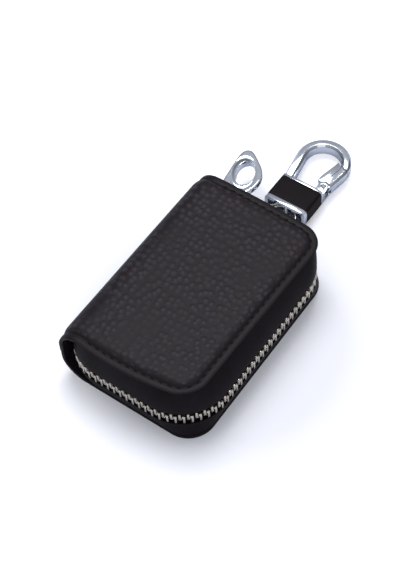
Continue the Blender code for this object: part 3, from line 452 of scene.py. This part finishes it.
def planPoint(plan, distance):
    # Point and outward normal at a distance from the middle of the long side.
    side, sign = ("back", 1) if distance >= 0 else ("front", -1)
    left = abs(distance)
    run, corner, across, _ = planSide(plan, side)
    curlX, curlR, _ = plan[side]
    if left <= run:
        x, y, nx, ny = plan["x"], left, 1.0, 0.0
    elif left <= run + corner:
        angle = (left - run) / plan["r"]
        nx, ny = math.cos(angle), math.sin(angle)
        x, y = plan["x"] + plan["r"] * (nx - 1), plan["y"] + plan["r"] * (ny - 1)
    elif left <= run + corner + across:
        x, y, nx, ny = plan["x"] - plan["r"] - (left - run - corner), plan["y"], 0.0, 1.0
    else:
        angle = (left - run - corner - across) / curlR
        nx, ny = -math.sin(angle), math.cos(angle)
        x, y = curlX + curlR * nx, plan["y"] + curlR * (ny - 1)
    return x, sign * y, nx, sign * ny


def bendLift(x):
    radius = wallForm["spineRadius"]
    reach = min(max(0.0, bendX - x), radius)
    return radius - math.sqrt(radius ** 2 - reach ** 2)


def wallStrip(name, node, low, high, form, rows, swell=0.0, half=0):
    # A flat grid laid on the wall's plan, then given its thickness and rounded rims.
    # half is 1 for a wall above the zip and -1 for one below it.
    level = caseForm["zipLevel"]
    middle = wallPlan(level, 0.0)
    clearSelection()
    bpy.ops.mesh.primitive_grid_add(x_subdivisions=wallForm["columns"], y_subdivisions=rows, size=1.0)
    piece = bpy.context.object
    piece.name = name
    for vert in piece.data.vertices:
        along, up = vert.co.x * 2, vert.co.y + 0.5
        side = "back" if along >= 0 else "front"
        z = low + (high - low) * up
        if half:
            way = along * sum(planSide(middle, side))
            wide = clamp((way - wallForm["sliderFrom"]) / wallForm["sliderEase"])
            edge = level + half * (wallForm["gap"] + wallForm["sliderGap"] * wide)
            z = edge + (high - edge) * up if half > 0 else low + (edge - low) * up
        plan = wallPlan(z, form["inset"] - swell * math.sin(math.pi * up))
        x, y, _, _ = planPoint(plan, along * sum(planSide(plan, side)))
        rise = max(0.0, (z - level) / (caseForm["wallTop"] - level))
        x, y = drawnIn(x, y, 1 - math.cos(rise * math.pi / 2))
        lift = bendLift(x)
        vert.co = (x, y, min(max(z, caseForm["wallFoot"] + lift), caseForm["wallTop"] - lift))
    editPiece(piece)
    bpy.ops.mesh.select_all(action="SELECT")
    bpy.ops.mesh.normals_make_consistent(inside=False)
    endEdit()
    outermost = max(piece.data.polygons, key=lambda face: face.center.x)
    if outermost.normal.x < 0:
        piece.data.flip_normals()
    applyModifier(piece, "SOLIDIFY", thickness=form["thickness"], offset=-1.0, use_even_offset=True)
    applyModifier(piece, "BEVEL", width=form["rim"], segments=3, limit_method="ANGLE",
                  angle_limit=math.radians(60))
    smoothShade(piece, 40)
    dress(piece, slotFinish[nodeSlot[node]])
    standIn(piece, node)


def makeWalls():
    level = caseForm["zipLevel"]
    edge, reach = tapeForm["edge"], tapeForm["reach"]
    wallStrip("upperWall", "upper_gusset", level, caseForm["wallTop"], wallForm, 12,
              swell=wallForm["upperSwell"], half=1)
    wallStrip("lowerWall", "lower_gusset", caseForm["wallFoot"], level, wallForm, 8,
              swell=wallForm["lowerSwell"], half=-1)
    wallStrip("upperTape", "upper_zip_tape", level + edge, level + reach, tapeForm, 8)
    wallStrip("lowerTape", "lower_zip_tape", level - reach, level - edge, tapeForm, 8)


makeWalls()
print("side walls and tapes are made")


# Outer leather, two sheets that meet in the middle of the spine. The profile is in millimetres,
# each inset with the border's depth there: rolled hem, sewn groove and slope.

coverForm = {
    "profile": ((0.0, 1.08), (0.4, 0.92), (0.9, 0.84), (1.5, 0.80), (1.95, 0.84), (2.2, 0.94),
                (2.4, 0.98), (2.6, 0.88), (2.95, 0.66), (3.6, 0.32), (4.4, 0.10), (5.4, 0.0)),
    "spacing": 2.6 * mm, "crown": 0.25 * mm, "bendSteps": 12, "cornerSteps": 14, "extra": 12 * mm,
    "merge": 0.12 * mm, "rim": 0.3 * mm, "seamReach": 0.01 * mm, "pebbleFrom": 2.7, "pebbleEase": 0.9,
    "hideShift": 0.2,
}


def borderDepth(inset):
    marks = coverForm["profile"]
    value = inset / mm
    if value <= 0:
        return marks[0][1] * mm
    for (near, start), (far, end) in zip(marks, marks[1:]):
        if value <= far:
            return (start + (end - start) * (value - near) / (far - near)) * mm
    return 0.0


def planInset(x, y, halfX, halfY, radius):
    # Distance in from the hem's outline, which has no edge at the spine.
    dx, dy = x - (halfX - radius), abs(y) - (halfY - radius)
    if dx > 0 and dy > 0:
        return radius - math.hypot(dx, dy)
    return min(halfX - x, halfY - abs(y))


def makeCover(name, halfX, halfY, radius, faceZ, turn):
    # turn is 1 for the top and -1 for the bottom.
    form = coverForm
    extra = form["extra"]
    clearSelection()
    bpy.ops.mesh.primitive_plane_add(size=1.0)
    piece = shapeNew(name, (halfX - bendX + extra, 2 * halfY, 1),
                     ((halfX + bendX - extra) / 2, 0, faceZ))
    editPiece(piece, "VERT")
    pickVerts(piece, lambda co: co.x > 0)
    bpy.ops.mesh.bevel(offset=radius, segments=form["cornerSteps"], affect="VERTICES")
    bpy.ops.mesh.select_mode(type="FACE")
    bpy.ops.mesh.select_all(action="SELECT")
    for (before, _), (ring, _) in zip(form["profile"], form["profile"][1:]):
        bpy.ops.mesh.inset(thickness=(ring - before) * mm, use_even_offset=True)
    bpy.ops.mesh.select_all(action="SELECT")
    bpy.ops.mesh.bisect(plane_co=(bendX, 0, 0), plane_no=(1, 0, 0), clear_inner=True)
    bpy.ops.mesh.select_mode(type="EDGE")
    pickEdges(piece, lambda a, b: abs(a.x - bendX) < tiny and abs(b.x - bendX) < tiny)
    centreZ = faceZ - turn * caseForm["bend"]
    bpy.ops.mesh.spin(steps=form["bendSteps"], angle=turn * math.pi / 2,
                      center=(bendX, 0, centreZ), axis=(0, 1, 0))
    seamZ = caseForm["height"] / 2
    bpy.ops.mesh.extrude_region_move(TRANSFORM_OT_translate={"value": (0, 0, seamZ - centreZ)})
    cutAcross(1, -halfY, halfY, form["spacing"])
    cutAcross(0, bendX, halfX, form["spacing"])
    bpy.ops.mesh.select_all(action="SELECT")
    bpy.ops.mesh.remove_doubles(threshold=form["merge"])
    bpy.ops.mesh.normals_make_consistent(inside=False)
    endEdit()
    up = max(piece.data.polygons, key=lambda face: face.center.x)
    if up.normal.z * turn < 0:
        piece.data.flip_normals()
    shapeCover(piece, halfX, halfY, radius, faceZ, turn)
    applyModifier(piece, "SOLIDIFY", thickness=caseForm["leather"], offset=-1.0)
    editPiece(piece, "EDGE")
    mesh = bmesh.from_edit_mesh(piece.data)
    for edge in mesh.edges:
        seam = all(abs(v.co.z - seamZ) < form["seamReach"] for v in edge.verts)
        sharp = len(edge.link_faces) == 2 and edge.calc_face_angle() > math.radians(60)
        edge.select_set(sharp and not seam)
    bmesh.update_edit_mesh(piece.data)
    bpy.ops.mesh.bevel(offset=form["rim"], segments=3, affect="EDGES", clamp_overlap=True)
    endEdit()
    markPebbles(piece, halfX, halfY, radius, turn)
    smoothShade(piece, 50)
    dress(piece, coverLeather)
    return piece


def shapeCover(piece, halfX, halfY, radius, faceZ, turn):
    # Sinks the hem, sews in its groove and crowns the top's field; eased over the spine.
    bend = caseForm["bend"]
    centreZ = faceZ - turn * bend
    whole = bend * math.pi / 2 + abs(caseForm["height"] / 2 - centreZ)
    top = 1.0 if turn > 0 else 0.0
    for vert in piece.data.vertices:
        x, y, z = vert.co
        if x >= bendX - tiny and abs(z - faceZ) < tiny:
            depth = borderDepth(planInset(x, y, halfX, halfY, radius)) * top
            u = (x - bendX) / (halfX - bendX)
            crown = coverForm["crown"] * (1 - abs(2 * u - 1) ** 3) * (1 - abs(y / halfY) ** 3) * top
            vert.co.z = faceZ - turn * (depth - crown)
            vert.co.x, vert.co.y = drawnIn(x, y, top)
            continue
        rise = turn * (z - centreZ)
        angle = math.atan2(bendX - x, rise) if rise > 0 else math.pi / 2
        way = (bend * angle + max(0.0, -rise)) / whole
        depth = borderDepth(halfY - abs(y)) * (1 - way / 2 if turn > 0 else way / 2)
        if rise > 0:
            reach = bend - depth
            vert.co = (bendX - reach * math.sin(angle), y, centreZ + turn * reach * math.cos(angle))
        else:
            vert.co = (-caseForm["halfWidth"] + depth, y, z)


def markPebbles(piece, halfX, halfY, radius, turn):
    # Where the pebbles show, and each point's place on the flat hide.
    mask = piece.data.attributes.new("pebbled", "FLOAT", "POINT")
    hide = piece.data.attributes.new("hidePlace", "FLOAT_VECTOR", "POINT")
    bend = caseForm["bend"]
    centreZ = bend if turn < 0 else caseForm["height"] - bend
    shift = coverForm["hideShift"] if turn < 0 else 0.0
    values, places = [], []
    for vert in piece.data.vertices:
        x, y = drawnBack(vert.co.x, vert.co.y) if turn > 0 else (vert.co.x, vert.co.y)
        inset = planInset(x, y, halfX, halfY, radius) / mm
        if vert.co.x < bendX:
            inset = (halfY - abs(vert.co.y)) / mm
            rise = turn * (vert.co.z - centreZ)
            angle = math.atan2(bendX - vert.co.x, rise) if rise > 0 else math.pi / 2
            x = bendX - bend * angle - max(0.0, -rise)
        values.append(clamp((inset - coverForm["pebbleFrom"]) / coverForm["pebbleEase"]))
        places += [x, y + shift, 0.0]
    mask.data.foreach_set("value", values)
    hide.data.foreach_set("vector", places)


def makeCovers():
    form = caseForm
    height, bend = form["height"], form["bend"]
    upper = makeCover("upperLeather", form["halfWidth"], form["halfLength"], form["hemRadius"], height, 1)
    lower = makeCover("lowerLeather", form["halfWidth"] + form["footOut"], form["halfLength"],
                      form["footRadius"], 0.0, -1)
    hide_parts("top_cover", "spine_panel")
    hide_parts("bottom_cover")
    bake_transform(upper)
    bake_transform(lower)


makeCovers()
print("outer leather is made")


# Zip teeth, one shape repeated along both rows. They stand proud but for the slider's stretch.

toothForm = {
    "pitch": 2.5 * mm, "inset": 1.5 * mm, "legWidth": 0.76 * mm, "depth": 2.2 * mm,
    "headDepth": 1.8 * mm, "legTop": 2.5 * mm, "legFoot": -0.20 * mm, "headFoot": -0.90 * mm,
    "toe": 0.28 * mm, "round": 0.14 * mm, "frontTrim": 0.6 * mm, "backTrim": 6.4 * mm,
    "proud": 0.4 * mm, "sliderReach": 24 * mm, "sliderEase": 4 * mm,
}


def makeTooth():
    # Leg first, head extruded down from it, then a toe pushed out to one side.
    form = toothForm
    clearSelection()
    bpy.ops.mesh.primitive_cube_add(size=1.0)
    tooth = shapeNew("tooth", (form["legWidth"], form["depth"], form["legTop"] - form["legFoot"]),
                     (0, 0, (form["legTop"] + form["legFoot"]) / 2))
    editPiece(tooth)
    pickFaces(tooth, lambda centre, normal: normal.z < -0.9)
    bpy.ops.mesh.extrude_region_move(
        TRANSFORM_OT_translate={"value": (0, 0, form["headFoot"] - form["legFoot"])})
    bpy.ops.transform.resize(value=(1, form["headDepth"] / form["depth"], 1))
    pickFaces(tooth, lambda centre, normal: normal.x > 0.9 and centre.z < form["legFoot"])
    bpy.ops.mesh.extrude_region_move(TRANSFORM_OT_translate={"value": (form["toe"], 0, 0)})
    endEdit()
    applyModifier(tooth, "BEVEL", width=form["round"], segments=2, limit_method="ANGLE",
                  angle_limit=math.radians(40))
    smoothShade(tooth, 60)
    dress(tooth, metals["nickel"])
    return tooth


def makeRow(name, node, tooth, turn, shift):
    # Copies of the one tooth along the zip's line. turn is 1 for the upper row, -1 for the lower.
    form = toothForm
    plan = wallPlan(caseForm["zipLevel"], form["inset"])
    front = -sum(planSide(plan, "front")) + form["frontTrim"]
    back = sum(planSide(plan, "back")) - form["backTrim"]
    count = int((back - front - form["pitch"]) / form["pitch"])
    copies = []
    for k in range(count):
        along = front + form["pitch"] * (k + 0.5) + shift
        x, y, nx, ny = planPoint(plan, along)
        proud = form["proud"] * clamp((back - form["sliderReach"] - along) / form["sliderEase"])
        ahead = Vector((-ny, nx, 0)) * turn
        place = Matrix((ahead, Vector((nx, ny, 0)), Vector((0, 0, turn)))).transposed().to_4x4()
        place.translation = (x + nx * proud, y + ny * proud, caseForm["zipLevel"])
        copies.append(copyTo(tooth, place))
    row = joinPieces(copies, name)
    smoothShade(row, 60)
    standIn(row, node)


def makeTeeth():
    tooth = makeTooth()
    makeRow("upperTeeth", "upper_zip_teeth", tooth, 1, 0.0)
    makeRow("lowerTeeth", "lower_zip_teeth", tooth, -1, toothForm["pitch"] / 2)
    bpy.data.objects.remove(tooth)


makeTeeth()
print("zip teeth are made")


# Stitches round the lid.

stitchForm = {"pitch": 3.1 * mm, "length": 2.1 * mm, "width": 0.55 * mm, "inset": 2.38 * mm,
              "slant": math.radians(14), "depth": 0.98 * mm, "ahead": 0.4 * mm}


def makeStitch():
    form = stitchForm
    clearSelection()
    bpy.ops.mesh.primitive_uv_sphere_add(segments=8, ring_count=6, radius=0.5)
    return shapeNew("stitch", (form["length"], form["width"], form["width"]), (0, 0, 0))


def makeSeam():
    # Stitches lie in the sewn groove, from the spine bend round to the other end.
    form = stitchForm
    stitch = makeStitch()
    x, y, r = (caseForm[key] - form["inset"] for key in ("halfWidth", "halfLength", "hemRadius"))
    z = caseForm["height"] - form["depth"]
    run, corner = y - r, r * math.pi / 2
    total = run + corner + x - r - bendX
    copies = []

    def seamPoint(left, sign):
        if left <= run:
            place = (x, left)
        elif left <= run + corner:
            angle = (left - run) / r
            place = (x + r * (math.cos(angle) - 1), y + r * (math.sin(angle) - 1))
        else:
            place = (x - r - (left - run - corner), y)
        return Vector((*drawnIn(place[0], sign * place[1], 1.0), z))

    for sign in (-1, 1):
        for k in range(int(total / form["pitch"])):
            left = form["pitch"] * (k + 0.5)
            near, far = (seamPoint(left + ahead, sign) for ahead in (-form["ahead"], form["ahead"]))
            way = far - near
            turn = Matrix.Rotation(math.atan2(way.y, way.x) + sign * form["slant"], 4, "Z")
            copies.append(copyTo(stitch, Matrix.Translation(seamPoint(left, sign)) @ turn))
    seam = joinPieces(copies, "lidSeam")
    bpy.data.objects.remove(stitch)
    seam.data.shade_smooth()
    dress(seam, cloths["stitchThread"])
    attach(seam, "lid")


makeSeam()
print("stitches are laid")


# Metal pieces and the key tab get rounded edges, and wires get round sections.

edgeForm = {"zip_slider": 0.22 * mm, "grommet": 0.15 * mm, "bottom_stop": 0.2 * mm,
            "hook_loop": 0.30 * mm, "hook_gate": 0.22 * mm, "key_tab": 0.15 * mm,
            "grommet_washer": 0.1 * mm, "swivel_post": 0.10 * mm}
wireForm = {"nodes": ("link_ring", "key_ring", "pull_bail", "gate_spring"), "swell": 0.03 * mm}
mergeReach = 0.002 * mm


def copyNode(node, ending):
    # A merged copy of a node, free to be reshaped, in edit mode.
    piece = frame["nodes"][node].copy()
    piece.data = piece.data.copy()
    piece.parent = None
    piece.name = node + ending
    for key in list(piece.keys()):
        del piece[key]
    bpy.context.scene.collection.objects.link(piece)
    editPiece(piece)
    bpy.ops.mesh.select_all(action="SELECT")
    bpy.ops.mesh.remove_doubles(threshold=mergeReach)
    return piece


def solidCopy(node):  # without the edges of its flat faces
    piece = copyNode(node, "Rounded")
    bpy.ops.mesh.dissolve_limited(angle_limit=math.radians(1))
    endEdit()
    return piece


def roundOff(piece, node, width):
    applyModifier(piece, "BEVEL", width=width, segments=3, limit_method="ANGLE",
                  angle_limit=math.radians(30))
    smoothShade(piece, 40)
    standIn(piece, node)
    return piece


def roundWire(node):
    # A six-sided wire swells a little before it is made round, so that it keeps its width.
    piece = copyNode(node, "Wire")
    limit = math.radians(60)
    bpy.ops.mesh.tris_convert_to_quads(face_threshold=limit, shape_threshold=limit)
    bpy.ops.mesh.select_all(action="SELECT")
    bpy.ops.transform.shrink_fatten(value=wireForm["swell"])
    endEdit()
    applyModifier(piece, "SUBSURF", levels=1, render_levels=1)
    piece.data.shade_smooth()
    standIn(piece, node)


pullForm = {"edge": 0.55 * mm, "bead": 0.42 * mm, "reach": 1.9 * mm, "dish": 0.20 * mm,
            "step": 0.5 * mm, "hole": (5.4 * mm, 3.3 * mm), "place": 8.8 * mm, "fade": 0.8 * mm,
            "limit": 1.6}


def makePull():
    # A rounded plate with a raised bead round its hole and a hollow outside the bead.
    form = pullForm
    piece = roundOff(solidCopy("zip_pull"), "zip_pull", form["edge"])
    low, high = boxEnds("zip_pull")
    joint = [j for j in record["behaviour"]["joints"] if j["name"] == "pull_swing"][0]
    pivot = Vector(joint["pos_m"]).xy
    middle = (low.z + high.z) / 2
    tip = max((v.co.xy for v in piece.data.vertices), key=lambda point: (point - pivot).length)
    way = (tip - pivot).normalized()
    hole = pivot + way * form["place"]
    editPiece(piece)
    for axis in (0, 1):
        cutAcross(axis, low[axis], high[axis], form["step"])
    endEdit()
    length, width = form["hole"]
    for vert in piece.data.vertices:
        away = vert.co.xy - hole
        along, across = away.dot(way), away.x * way.y - away.y * way.x
        distance = (math.hypot(along / length, across / width) - 1) * (length + width) / 2
        share = clamp(distance / form["reach"])
        if distance < form["reach"] * form["limit"]:
            change = form["bead"] * (1 - share) ** 2 - form["dish"] * math.sin(math.pi * share)
            vert.co.z += change * clamp((vert.co.z - middle) / form["fade"], -1.0, 1.0)
    smoothShade(piece, 50)


sleeveForm = {"edge": 0.22 * mm, "near": 0.9 * mm, "far": 0.4 * mm, "reach": 0.1 * mm}


def makeSleeve():
    # The band's seat reaches nearer to both rims; the mouth's inside is satin.
    form = sleeveForm
    low, high = boxEnds("sleeve_leather")
    piece = solidCopy("hook_sleeve")
    for vert in piece.data.vertices:
        if abs(vert.co.y - low.y) < form["reach"]:
            vert.co.y -= form["near"]
        elif abs(vert.co.y - high.y) < form["reach"]:
            vert.co.y += form["far"]
    piece.data.materials.append(metals["satin"])
    roundOff(piece, "hook_sleeve", form["edge"])
    middle = (low + high) / 2
    for face in piece.data.polygons:
        inward = Vector((middle.x - face.center.x, 0, middle.z - face.center.z)).normalized()
        if face.normal.dot(inward) > 0.5:
            face.material_index = 1


for node, width in edgeForm.items():
    roundOff(solidCopy(node), node, width)
makePull()
makeSleeve()
for node in wireForm["nodes"]:
    roundWire(node)
print("metal edges are rounded")


# Leather band round the sleeve.

bandForm = {"corner": 1.3 * mm, "cornerSteps": 6, "thickness": 0.5 * mm, "rim": 0.14 * mm,
            "swell": 0.05 * mm, "cuts": (0.25, 0.5, 0.75)}


def makeBand():
    low, high = boxEnds("sleeve_leather")
    low.y -= sleeveForm["near"]
    high.y += sleeveForm["far"]
    middle = (low + high) / 2
    clearSelection()
    bpy.ops.mesh.primitive_cube_add(size=1.0)
    band = shapeNew("sleeveBand", high - low, middle)
    editPiece(band)
    pickFaces(band, lambda centre, normal: abs(normal.y) > 0.9)
    bpy.ops.mesh.delete(type="ONLY_FACE")
    bpy.ops.mesh.select_mode(type="EDGE")
    pickEdges(band, lambda a, b: abs(a.y - b.y) > tiny)
    bpy.ops.mesh.bevel(offset=bandForm["corner"], segments=bandForm["cornerSteps"], affect="EDGES")
    for share in bandForm["cuts"]:
        bpy.ops.mesh.select_all(action="SELECT")
        bpy.ops.mesh.bisect(plane_co=(0, low.y + (high.y - low.y) * share, 0), plane_no=(0, 1, 0))
    bpy.ops.mesh.select_all(action="SELECT")
    bpy.ops.mesh.normals_make_consistent(inside=False)
    endEdit()
    for vert in band.data.vertices:
        share = (vert.co.y - low.y) / (high.y - low.y)
        out = Vector((vert.co.x - middle.x, 0, vert.co.z - middle.z)).normalized()
        vert.co += out * bandForm["swell"] * math.sin(math.pi * share)
    applyModifier(band, "SOLIDIFY", thickness=bandForm["thickness"], offset=-1.0)
    applyModifier(band, "BEVEL", width=bandForm["rim"], segments=3, limit_method="ANGLE",
                  angle_limit=math.radians(60))
    smoothShade(band, 40)
    dress(band, wallLeather)
    standIn(band, "sleeve_leather")


makeBand()
print("sleeve band is made")


# Linings and foam inside the case.

liningForm = {"thickness": 0.22 * mm, "corner": 8 * mm, "spacing": 3.0 * mm, "ripple": 0.05 * mm,
              "waves": (5.1 * mm, 7.3 * mm), "shift": 0.8, "merge": 0.01 * mm, "spineCuts": 20,
              "bendSteps": 5}
notchForm = {"half": 2.9 * mm, "clear": 0.3 * mm}
foamForm = {"crown": 0.12 * mm, "corner": 5 * mm, "rise": 0.3}


def cutSheet(name, low, high, corner):
    # A flat sheet with two round corners, cut into small squares.
    clearSelection()
    bpy.ops.mesh.primitive_plane_add(size=1.0)
    sheet = shapeNew(name, (high.x - low.x, high.y - low.y, 1), (low + high) / 2)
    editPiece(sheet, "VERT")
    pickVerts(sheet, lambda co: co.x > 0)
    bpy.ops.mesh.bevel(offset=corner, segments=8, affect="VERTICES")
    bpy.ops.mesh.select_mode(type="FACE")
    for axis in (0, 1):
        cutAcross(axis, low[axis], high[axis], liningForm["spacing"])
    endEdit()
    return sheet


def finishLining(sheet, node):
    applyModifier(sheet, "SOLIDIFY", thickness=liningForm["thickness"], offset=0.0)
    smoothShade(sheet, 40)
    dress(sheet, cloths["blackCloth"])
    standIn(sheet, node)


def makeLining(name, node, notch=None):
    # notch is the half width and the near end of the room for the swivel's post.
    low, high = boxEnds(node)
    sheet = cutSheet(name, low, high, liningForm["corner"])
    if notch:
        editPiece(sheet)
        for at, way in (((notch[0], 0, 0), (1, 0, 0)), ((-notch[0], 0, 0), (1, 0, 0)),
                        ((0, notch[1], 0), (0, 1, 0))):
            bpy.ops.mesh.select_all(action="SELECT")
            bpy.ops.mesh.bisect(plane_co=at, plane_no=way)
        pickFaces(sheet, lambda centre, normal: abs(centre.x) < notch[0] and centre.y > notch[1])
        bpy.ops.mesh.delete(type="FACE")
        endEdit()
    waveX, waveY = liningForm["waves"]
    for vert in sheet.data.vertices:
        ripple = math.sin(vert.co.x / waveX) * math.sin(vert.co.y / waveY + liningForm["shift"])
        vert.co.z += liningForm["ripple"] * ripple
    finishLining(sheet, node)


def makeSpineLining():
    # A strip spun round the lower bend, raised, and spun round the upper one.
    low, high = boxEnds("spine_lining")
    bend, height = caseForm["bend"], caseForm["height"]
    reach = abs(low.x - bendX)
    clearSelection()
    bpy.ops.mesh.primitive_plane_add(size=1.0)
    sheet = bpy.context.object
    sheet.name = "spineLining"
    editPiece(sheet, "EDGE")
    pickEdges(sheet, lambda a, b: a.x < 0 and b.x < 0)
    bpy.ops.mesh.select_all(action="INVERT")
    bpy.ops.mesh.delete(type="EDGE")
    endEdit()
    corner = math.pi / 4
    spin = {"steps": liningForm["bendSteps"], "angle": corner, "axis": (0, 1, 0)}
    for vert in sheet.data.vertices:
        vert.co = (bendX - reach * math.sin(corner), (1 if vert.co.y > 0 else -1) * high.y,
                   bend - reach * math.cos(corner))
    editPiece(sheet, "EDGE")
    bpy.ops.mesh.select_all(action="SELECT")
    bpy.ops.mesh.subdivide(number_cuts=liningForm["spineCuts"])
    bpy.ops.mesh.spin(center=(bendX, 0, bend), **spin)
    bpy.ops.mesh.extrude_region_move(TRANSFORM_OT_translate={"value": (0, 0, height - 2 * bend)})
    bpy.ops.mesh.spin(center=(bendX, 0, height - bend), **spin)
    bpy.ops.mesh.select_all(action="SELECT")
    bpy.ops.mesh.remove_doubles(threshold=liningForm["merge"])
    bpy.ops.mesh.normals_make_consistent(inside=False)
    endEdit()
    finishLining(sheet, "spine_lining")


def makeFoam():
    # A thin pad, fullest in its middle.
    low, high = boxEnds("top_padding")
    pad = cutSheet("lidFoam", low, high, foamForm["corner"])
    thickness = high.z - low.z - 2 * foamForm["crown"]
    applyModifier(pad, "SOLIDIFY", thickness=thickness, offset=0.0)
    middle = (low + high) / 2
    half = (high - low) / 2
    for vert in pad.data.vertices:
        away = max(abs((vert.co.x - middle.x) / half.x), abs((vert.co.y - middle.y) / half.y))
        side = 1 if vert.co.z > middle.z else -1
        vert.co.z += side * foamForm["crown"] * (1 - 2 * foamForm["rise"] * away ** 4)
    smoothShade(pad, 60)
    dress(pad, cloths["foamPad"])
    standIn(pad, "top_padding")


def makeInside():
    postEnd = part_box("swivel_post")[0][1]
    makeLining("bottomLining", "bottom_lining",
               notch=(notchForm["half"], postEnd - notchForm["clear"]))
    makeLining("topLining", "top_lining")
    makeSpineLining()
    makeFoam()


makeInside()
print("linings and foam are laid")


# Floor, light and camera. The glints are the room's brightness in metal, from low to high.

# The floor's camera-only glow grows with the distance from a point under the case: painted shade round
# the case, white further off.
floorLook = {
    "size": 6.0, "drop": 0.02 * mm, "paint": (0.87, 0.88, 0.955, 1), "mirrored": (0.72, 0.74, 0.80, 1),
    "middle": (10 * mm, 0, 0), "fade": (40 * mm, 130 * mm), "paintedGlow": (0.12, 1.00), "roughness": 0.9,
}
lightPlan = {
    "keyLamp": {"place": (-0.22, 0.24, 0.86), "size": 0.48, "power": 5.2, "glint": 0.45},
    "fillLamp": {"place": (0.55, -0.50, 0.55), "size": 0.60, "power": 0.8, "glint": 1.0},
}
roomLook = {
    "colour": (0.89, 0.92, 1.0), "strength": 0.43, "glintColour": (0.96, 0.98, 1.0),
    "glints": ((0.0, 0.10), (0.30, 0.22), (0.58, 0.40), (0.78, 0.56), (0.90, 0.68), (1.0, 0.50)),
}


def makeFloor():
    look = floorLook
    clearSelection()
    bpy.ops.mesh.primitive_plane_add(size=look["size"], location=(0, 0, -look["drop"]))
    floor = bpy.context.object
    floor.name = "studioFloor"
    settle(floor)
    material, tree, shader = newMaterial("studioFloorPaint")
    path = addNode(tree, "ShaderNodeLightPath")
    # Seen in metal, the floor takes a darker colour than its own: a painted reflection.
    setInputs(tree, shader, {
        "Base Color": addMix(tree, path.outputs["Is Glossy Ray"], look["paint"], look["mirrored"]),
        "Roughness": look["roughness"], "Specular IOR Level": 0.0})
    # Seen by the camera, the floor glows weakly near the case and turns white with its distance from it:
    # painted shade round the case.
    away = addNode(tree, "ShaderNodeVectorMath", {0: objectPlace(tree), 1: look["middle"]},
                   operation="DISTANCE")
    fade = addRange(tree, away.outputs["Value"], look["fade"], look["paintedGlow"])
    seen = addProduct(tree, path.outputs["Is Camera Ray"], fade)
    paintedGlow = addNode(tree, "ShaderNodeEmission", {"Color": (1, 1, 1, 1), "Strength": seen})
    both = addNode(tree, "ShaderNodeAddShader", {0: shader.outputs["BSDF"], 1: paintedGlow.outputs["Emission"]})
    # From underneath it is clear.
    behind = addNode(tree, "ShaderNodeNewGeometry").outputs["Backfacing"]
    clear = addNode(tree, "ShaderNodeBsdfTransparent").outputs["BSDF"]
    side = addNode(tree, "ShaderNodeMixShader", {"Fac": behind, 1: both.outputs["Shader"], 2: clear})
    output = [n for n in tree.nodes if n.type == "OUTPUT_MATERIAL"][0]
    setInputs(tree, output, {"Surface": side.outputs["Shader"]})
    dress(floor, material)


def makeLamp(name, plan):
    bpy.ops.object.light_add(type="AREA", location=plan["place"])
    lamp = bpy.context.object
    lamp.name = name
    lamp.data.size = plan["size"]
    lamp.data.energy = plan["power"]
    lamp.data.specular_factor = plan["glint"]
    lamp.rotation_euler = (-Vector(plan["place"])).to_track_quat("-Z", "Y").to_euler()


def makeWorld():
    world = bpy.data.worlds.new("studioRoom")
    bpy.context.scene.world = world
    world.use_nodes = True
    tree = world.node_tree
    tree.nodes.clear()

    def backdrop(colour, strength=1.0):
        inputs = {"Color": colour, "Strength": strength}
        return addNode(tree, "ShaderNodeBackground", inputs).outputs[0]

    # Polished metal sees a dark horizon and a light ceiling.
    way = addNode(tree, "ShaderNodeTexCoord").outputs["Generated"]
    height = addNode(tree, "ShaderNodeSeparateXYZ", {0: way}).outputs["Z"]
    sky = addNode(tree, "ShaderNodeValToRGB", {"Fac": height})
    while len(sky.color_ramp.elements) < len(roomLook["glints"]):
        sky.color_ramp.elements.new(0.5)
    for step, (place, level) in zip(sky.color_ramp.elements, roomLook["glints"]):
        step.position = place
        step.color = (*shade(roomLook["glintColour"], level), 1)
    room = backdrop((*roomLook["colour"], 1), roomLook["strength"])
    glints = backdrop(sky.outputs["Color"])
    white = backdrop((1, 1, 1, 1))
    path = addNode(tree, "ShaderNodeLightPath").outputs
    inputs = {0: path["Is Camera Ray"], 1: path["Is Transmission Ray"]}
    seen = addNode(tree, "ShaderNodeMath", inputs, operation="MAXIMUM").outputs[0]
    inside = addNode(tree, "ShaderNodeMixShader", {"Fac": path["Is Glossy Ray"], 1: room, 2: glints})
    both = addNode(tree, "ShaderNodeMixShader", {"Fac": seen, 1: inside.outputs[0], 2: white})
    addNode(tree, "ShaderNodeOutputWorld", {"Surface": both.outputs[0]})


cameraPlan = {"azimuth": 39.44, "elevation": 55.14, "roll": -5.19, "distance": 455.88 * mm,
              "aim": (-8.52 * mm, 12.86 * mm), "focal": 118.80, "sensor": 36.0, "clip": (0.01, 20.0)}


def makeCamera():
    plan = cameraPlan
    a, e, r = (math.radians(plan[k]) for k in ("azimuth", "elevation", "roll"))
    back = Vector((math.sin(a) * math.cos(e), -math.cos(a) * math.cos(e), math.sin(e)))
    right = (-back).cross(Vector((0, 0, 1))).normalized()
    up = right.cross(-back)
    across = right * math.cos(r) + up * math.sin(r)
    upward = -right * math.sin(r) + up * math.cos(r)
    bpy.ops.object.camera_add()
    camera = bpy.context.object
    camera.name = "photoCamera"
    turn = Matrix((across, upward, back)).transposed().to_4x4()
    turn.translation = Vector((*plan["aim"], 0)) + back * plan["distance"]
    camera.matrix_world = turn
    camera.data.sensor_fit = "HORIZONTAL"
    camera.data.sensor_width = plan["sensor"]
    camera.data.lens = plan["focal"]
    camera.data.clip_start, camera.data.clip_end = plan["clip"]
    bpy.context.scene.camera = camera


clearSelection()
makeFloor()
for name, plan in lightPlan.items():
    makeLamp(name, plan)
makeWorld()
makeCamera()
bpy.context.scene.view_settings.view_transform = "Standard"
print("floor, light and camera are set")


import json
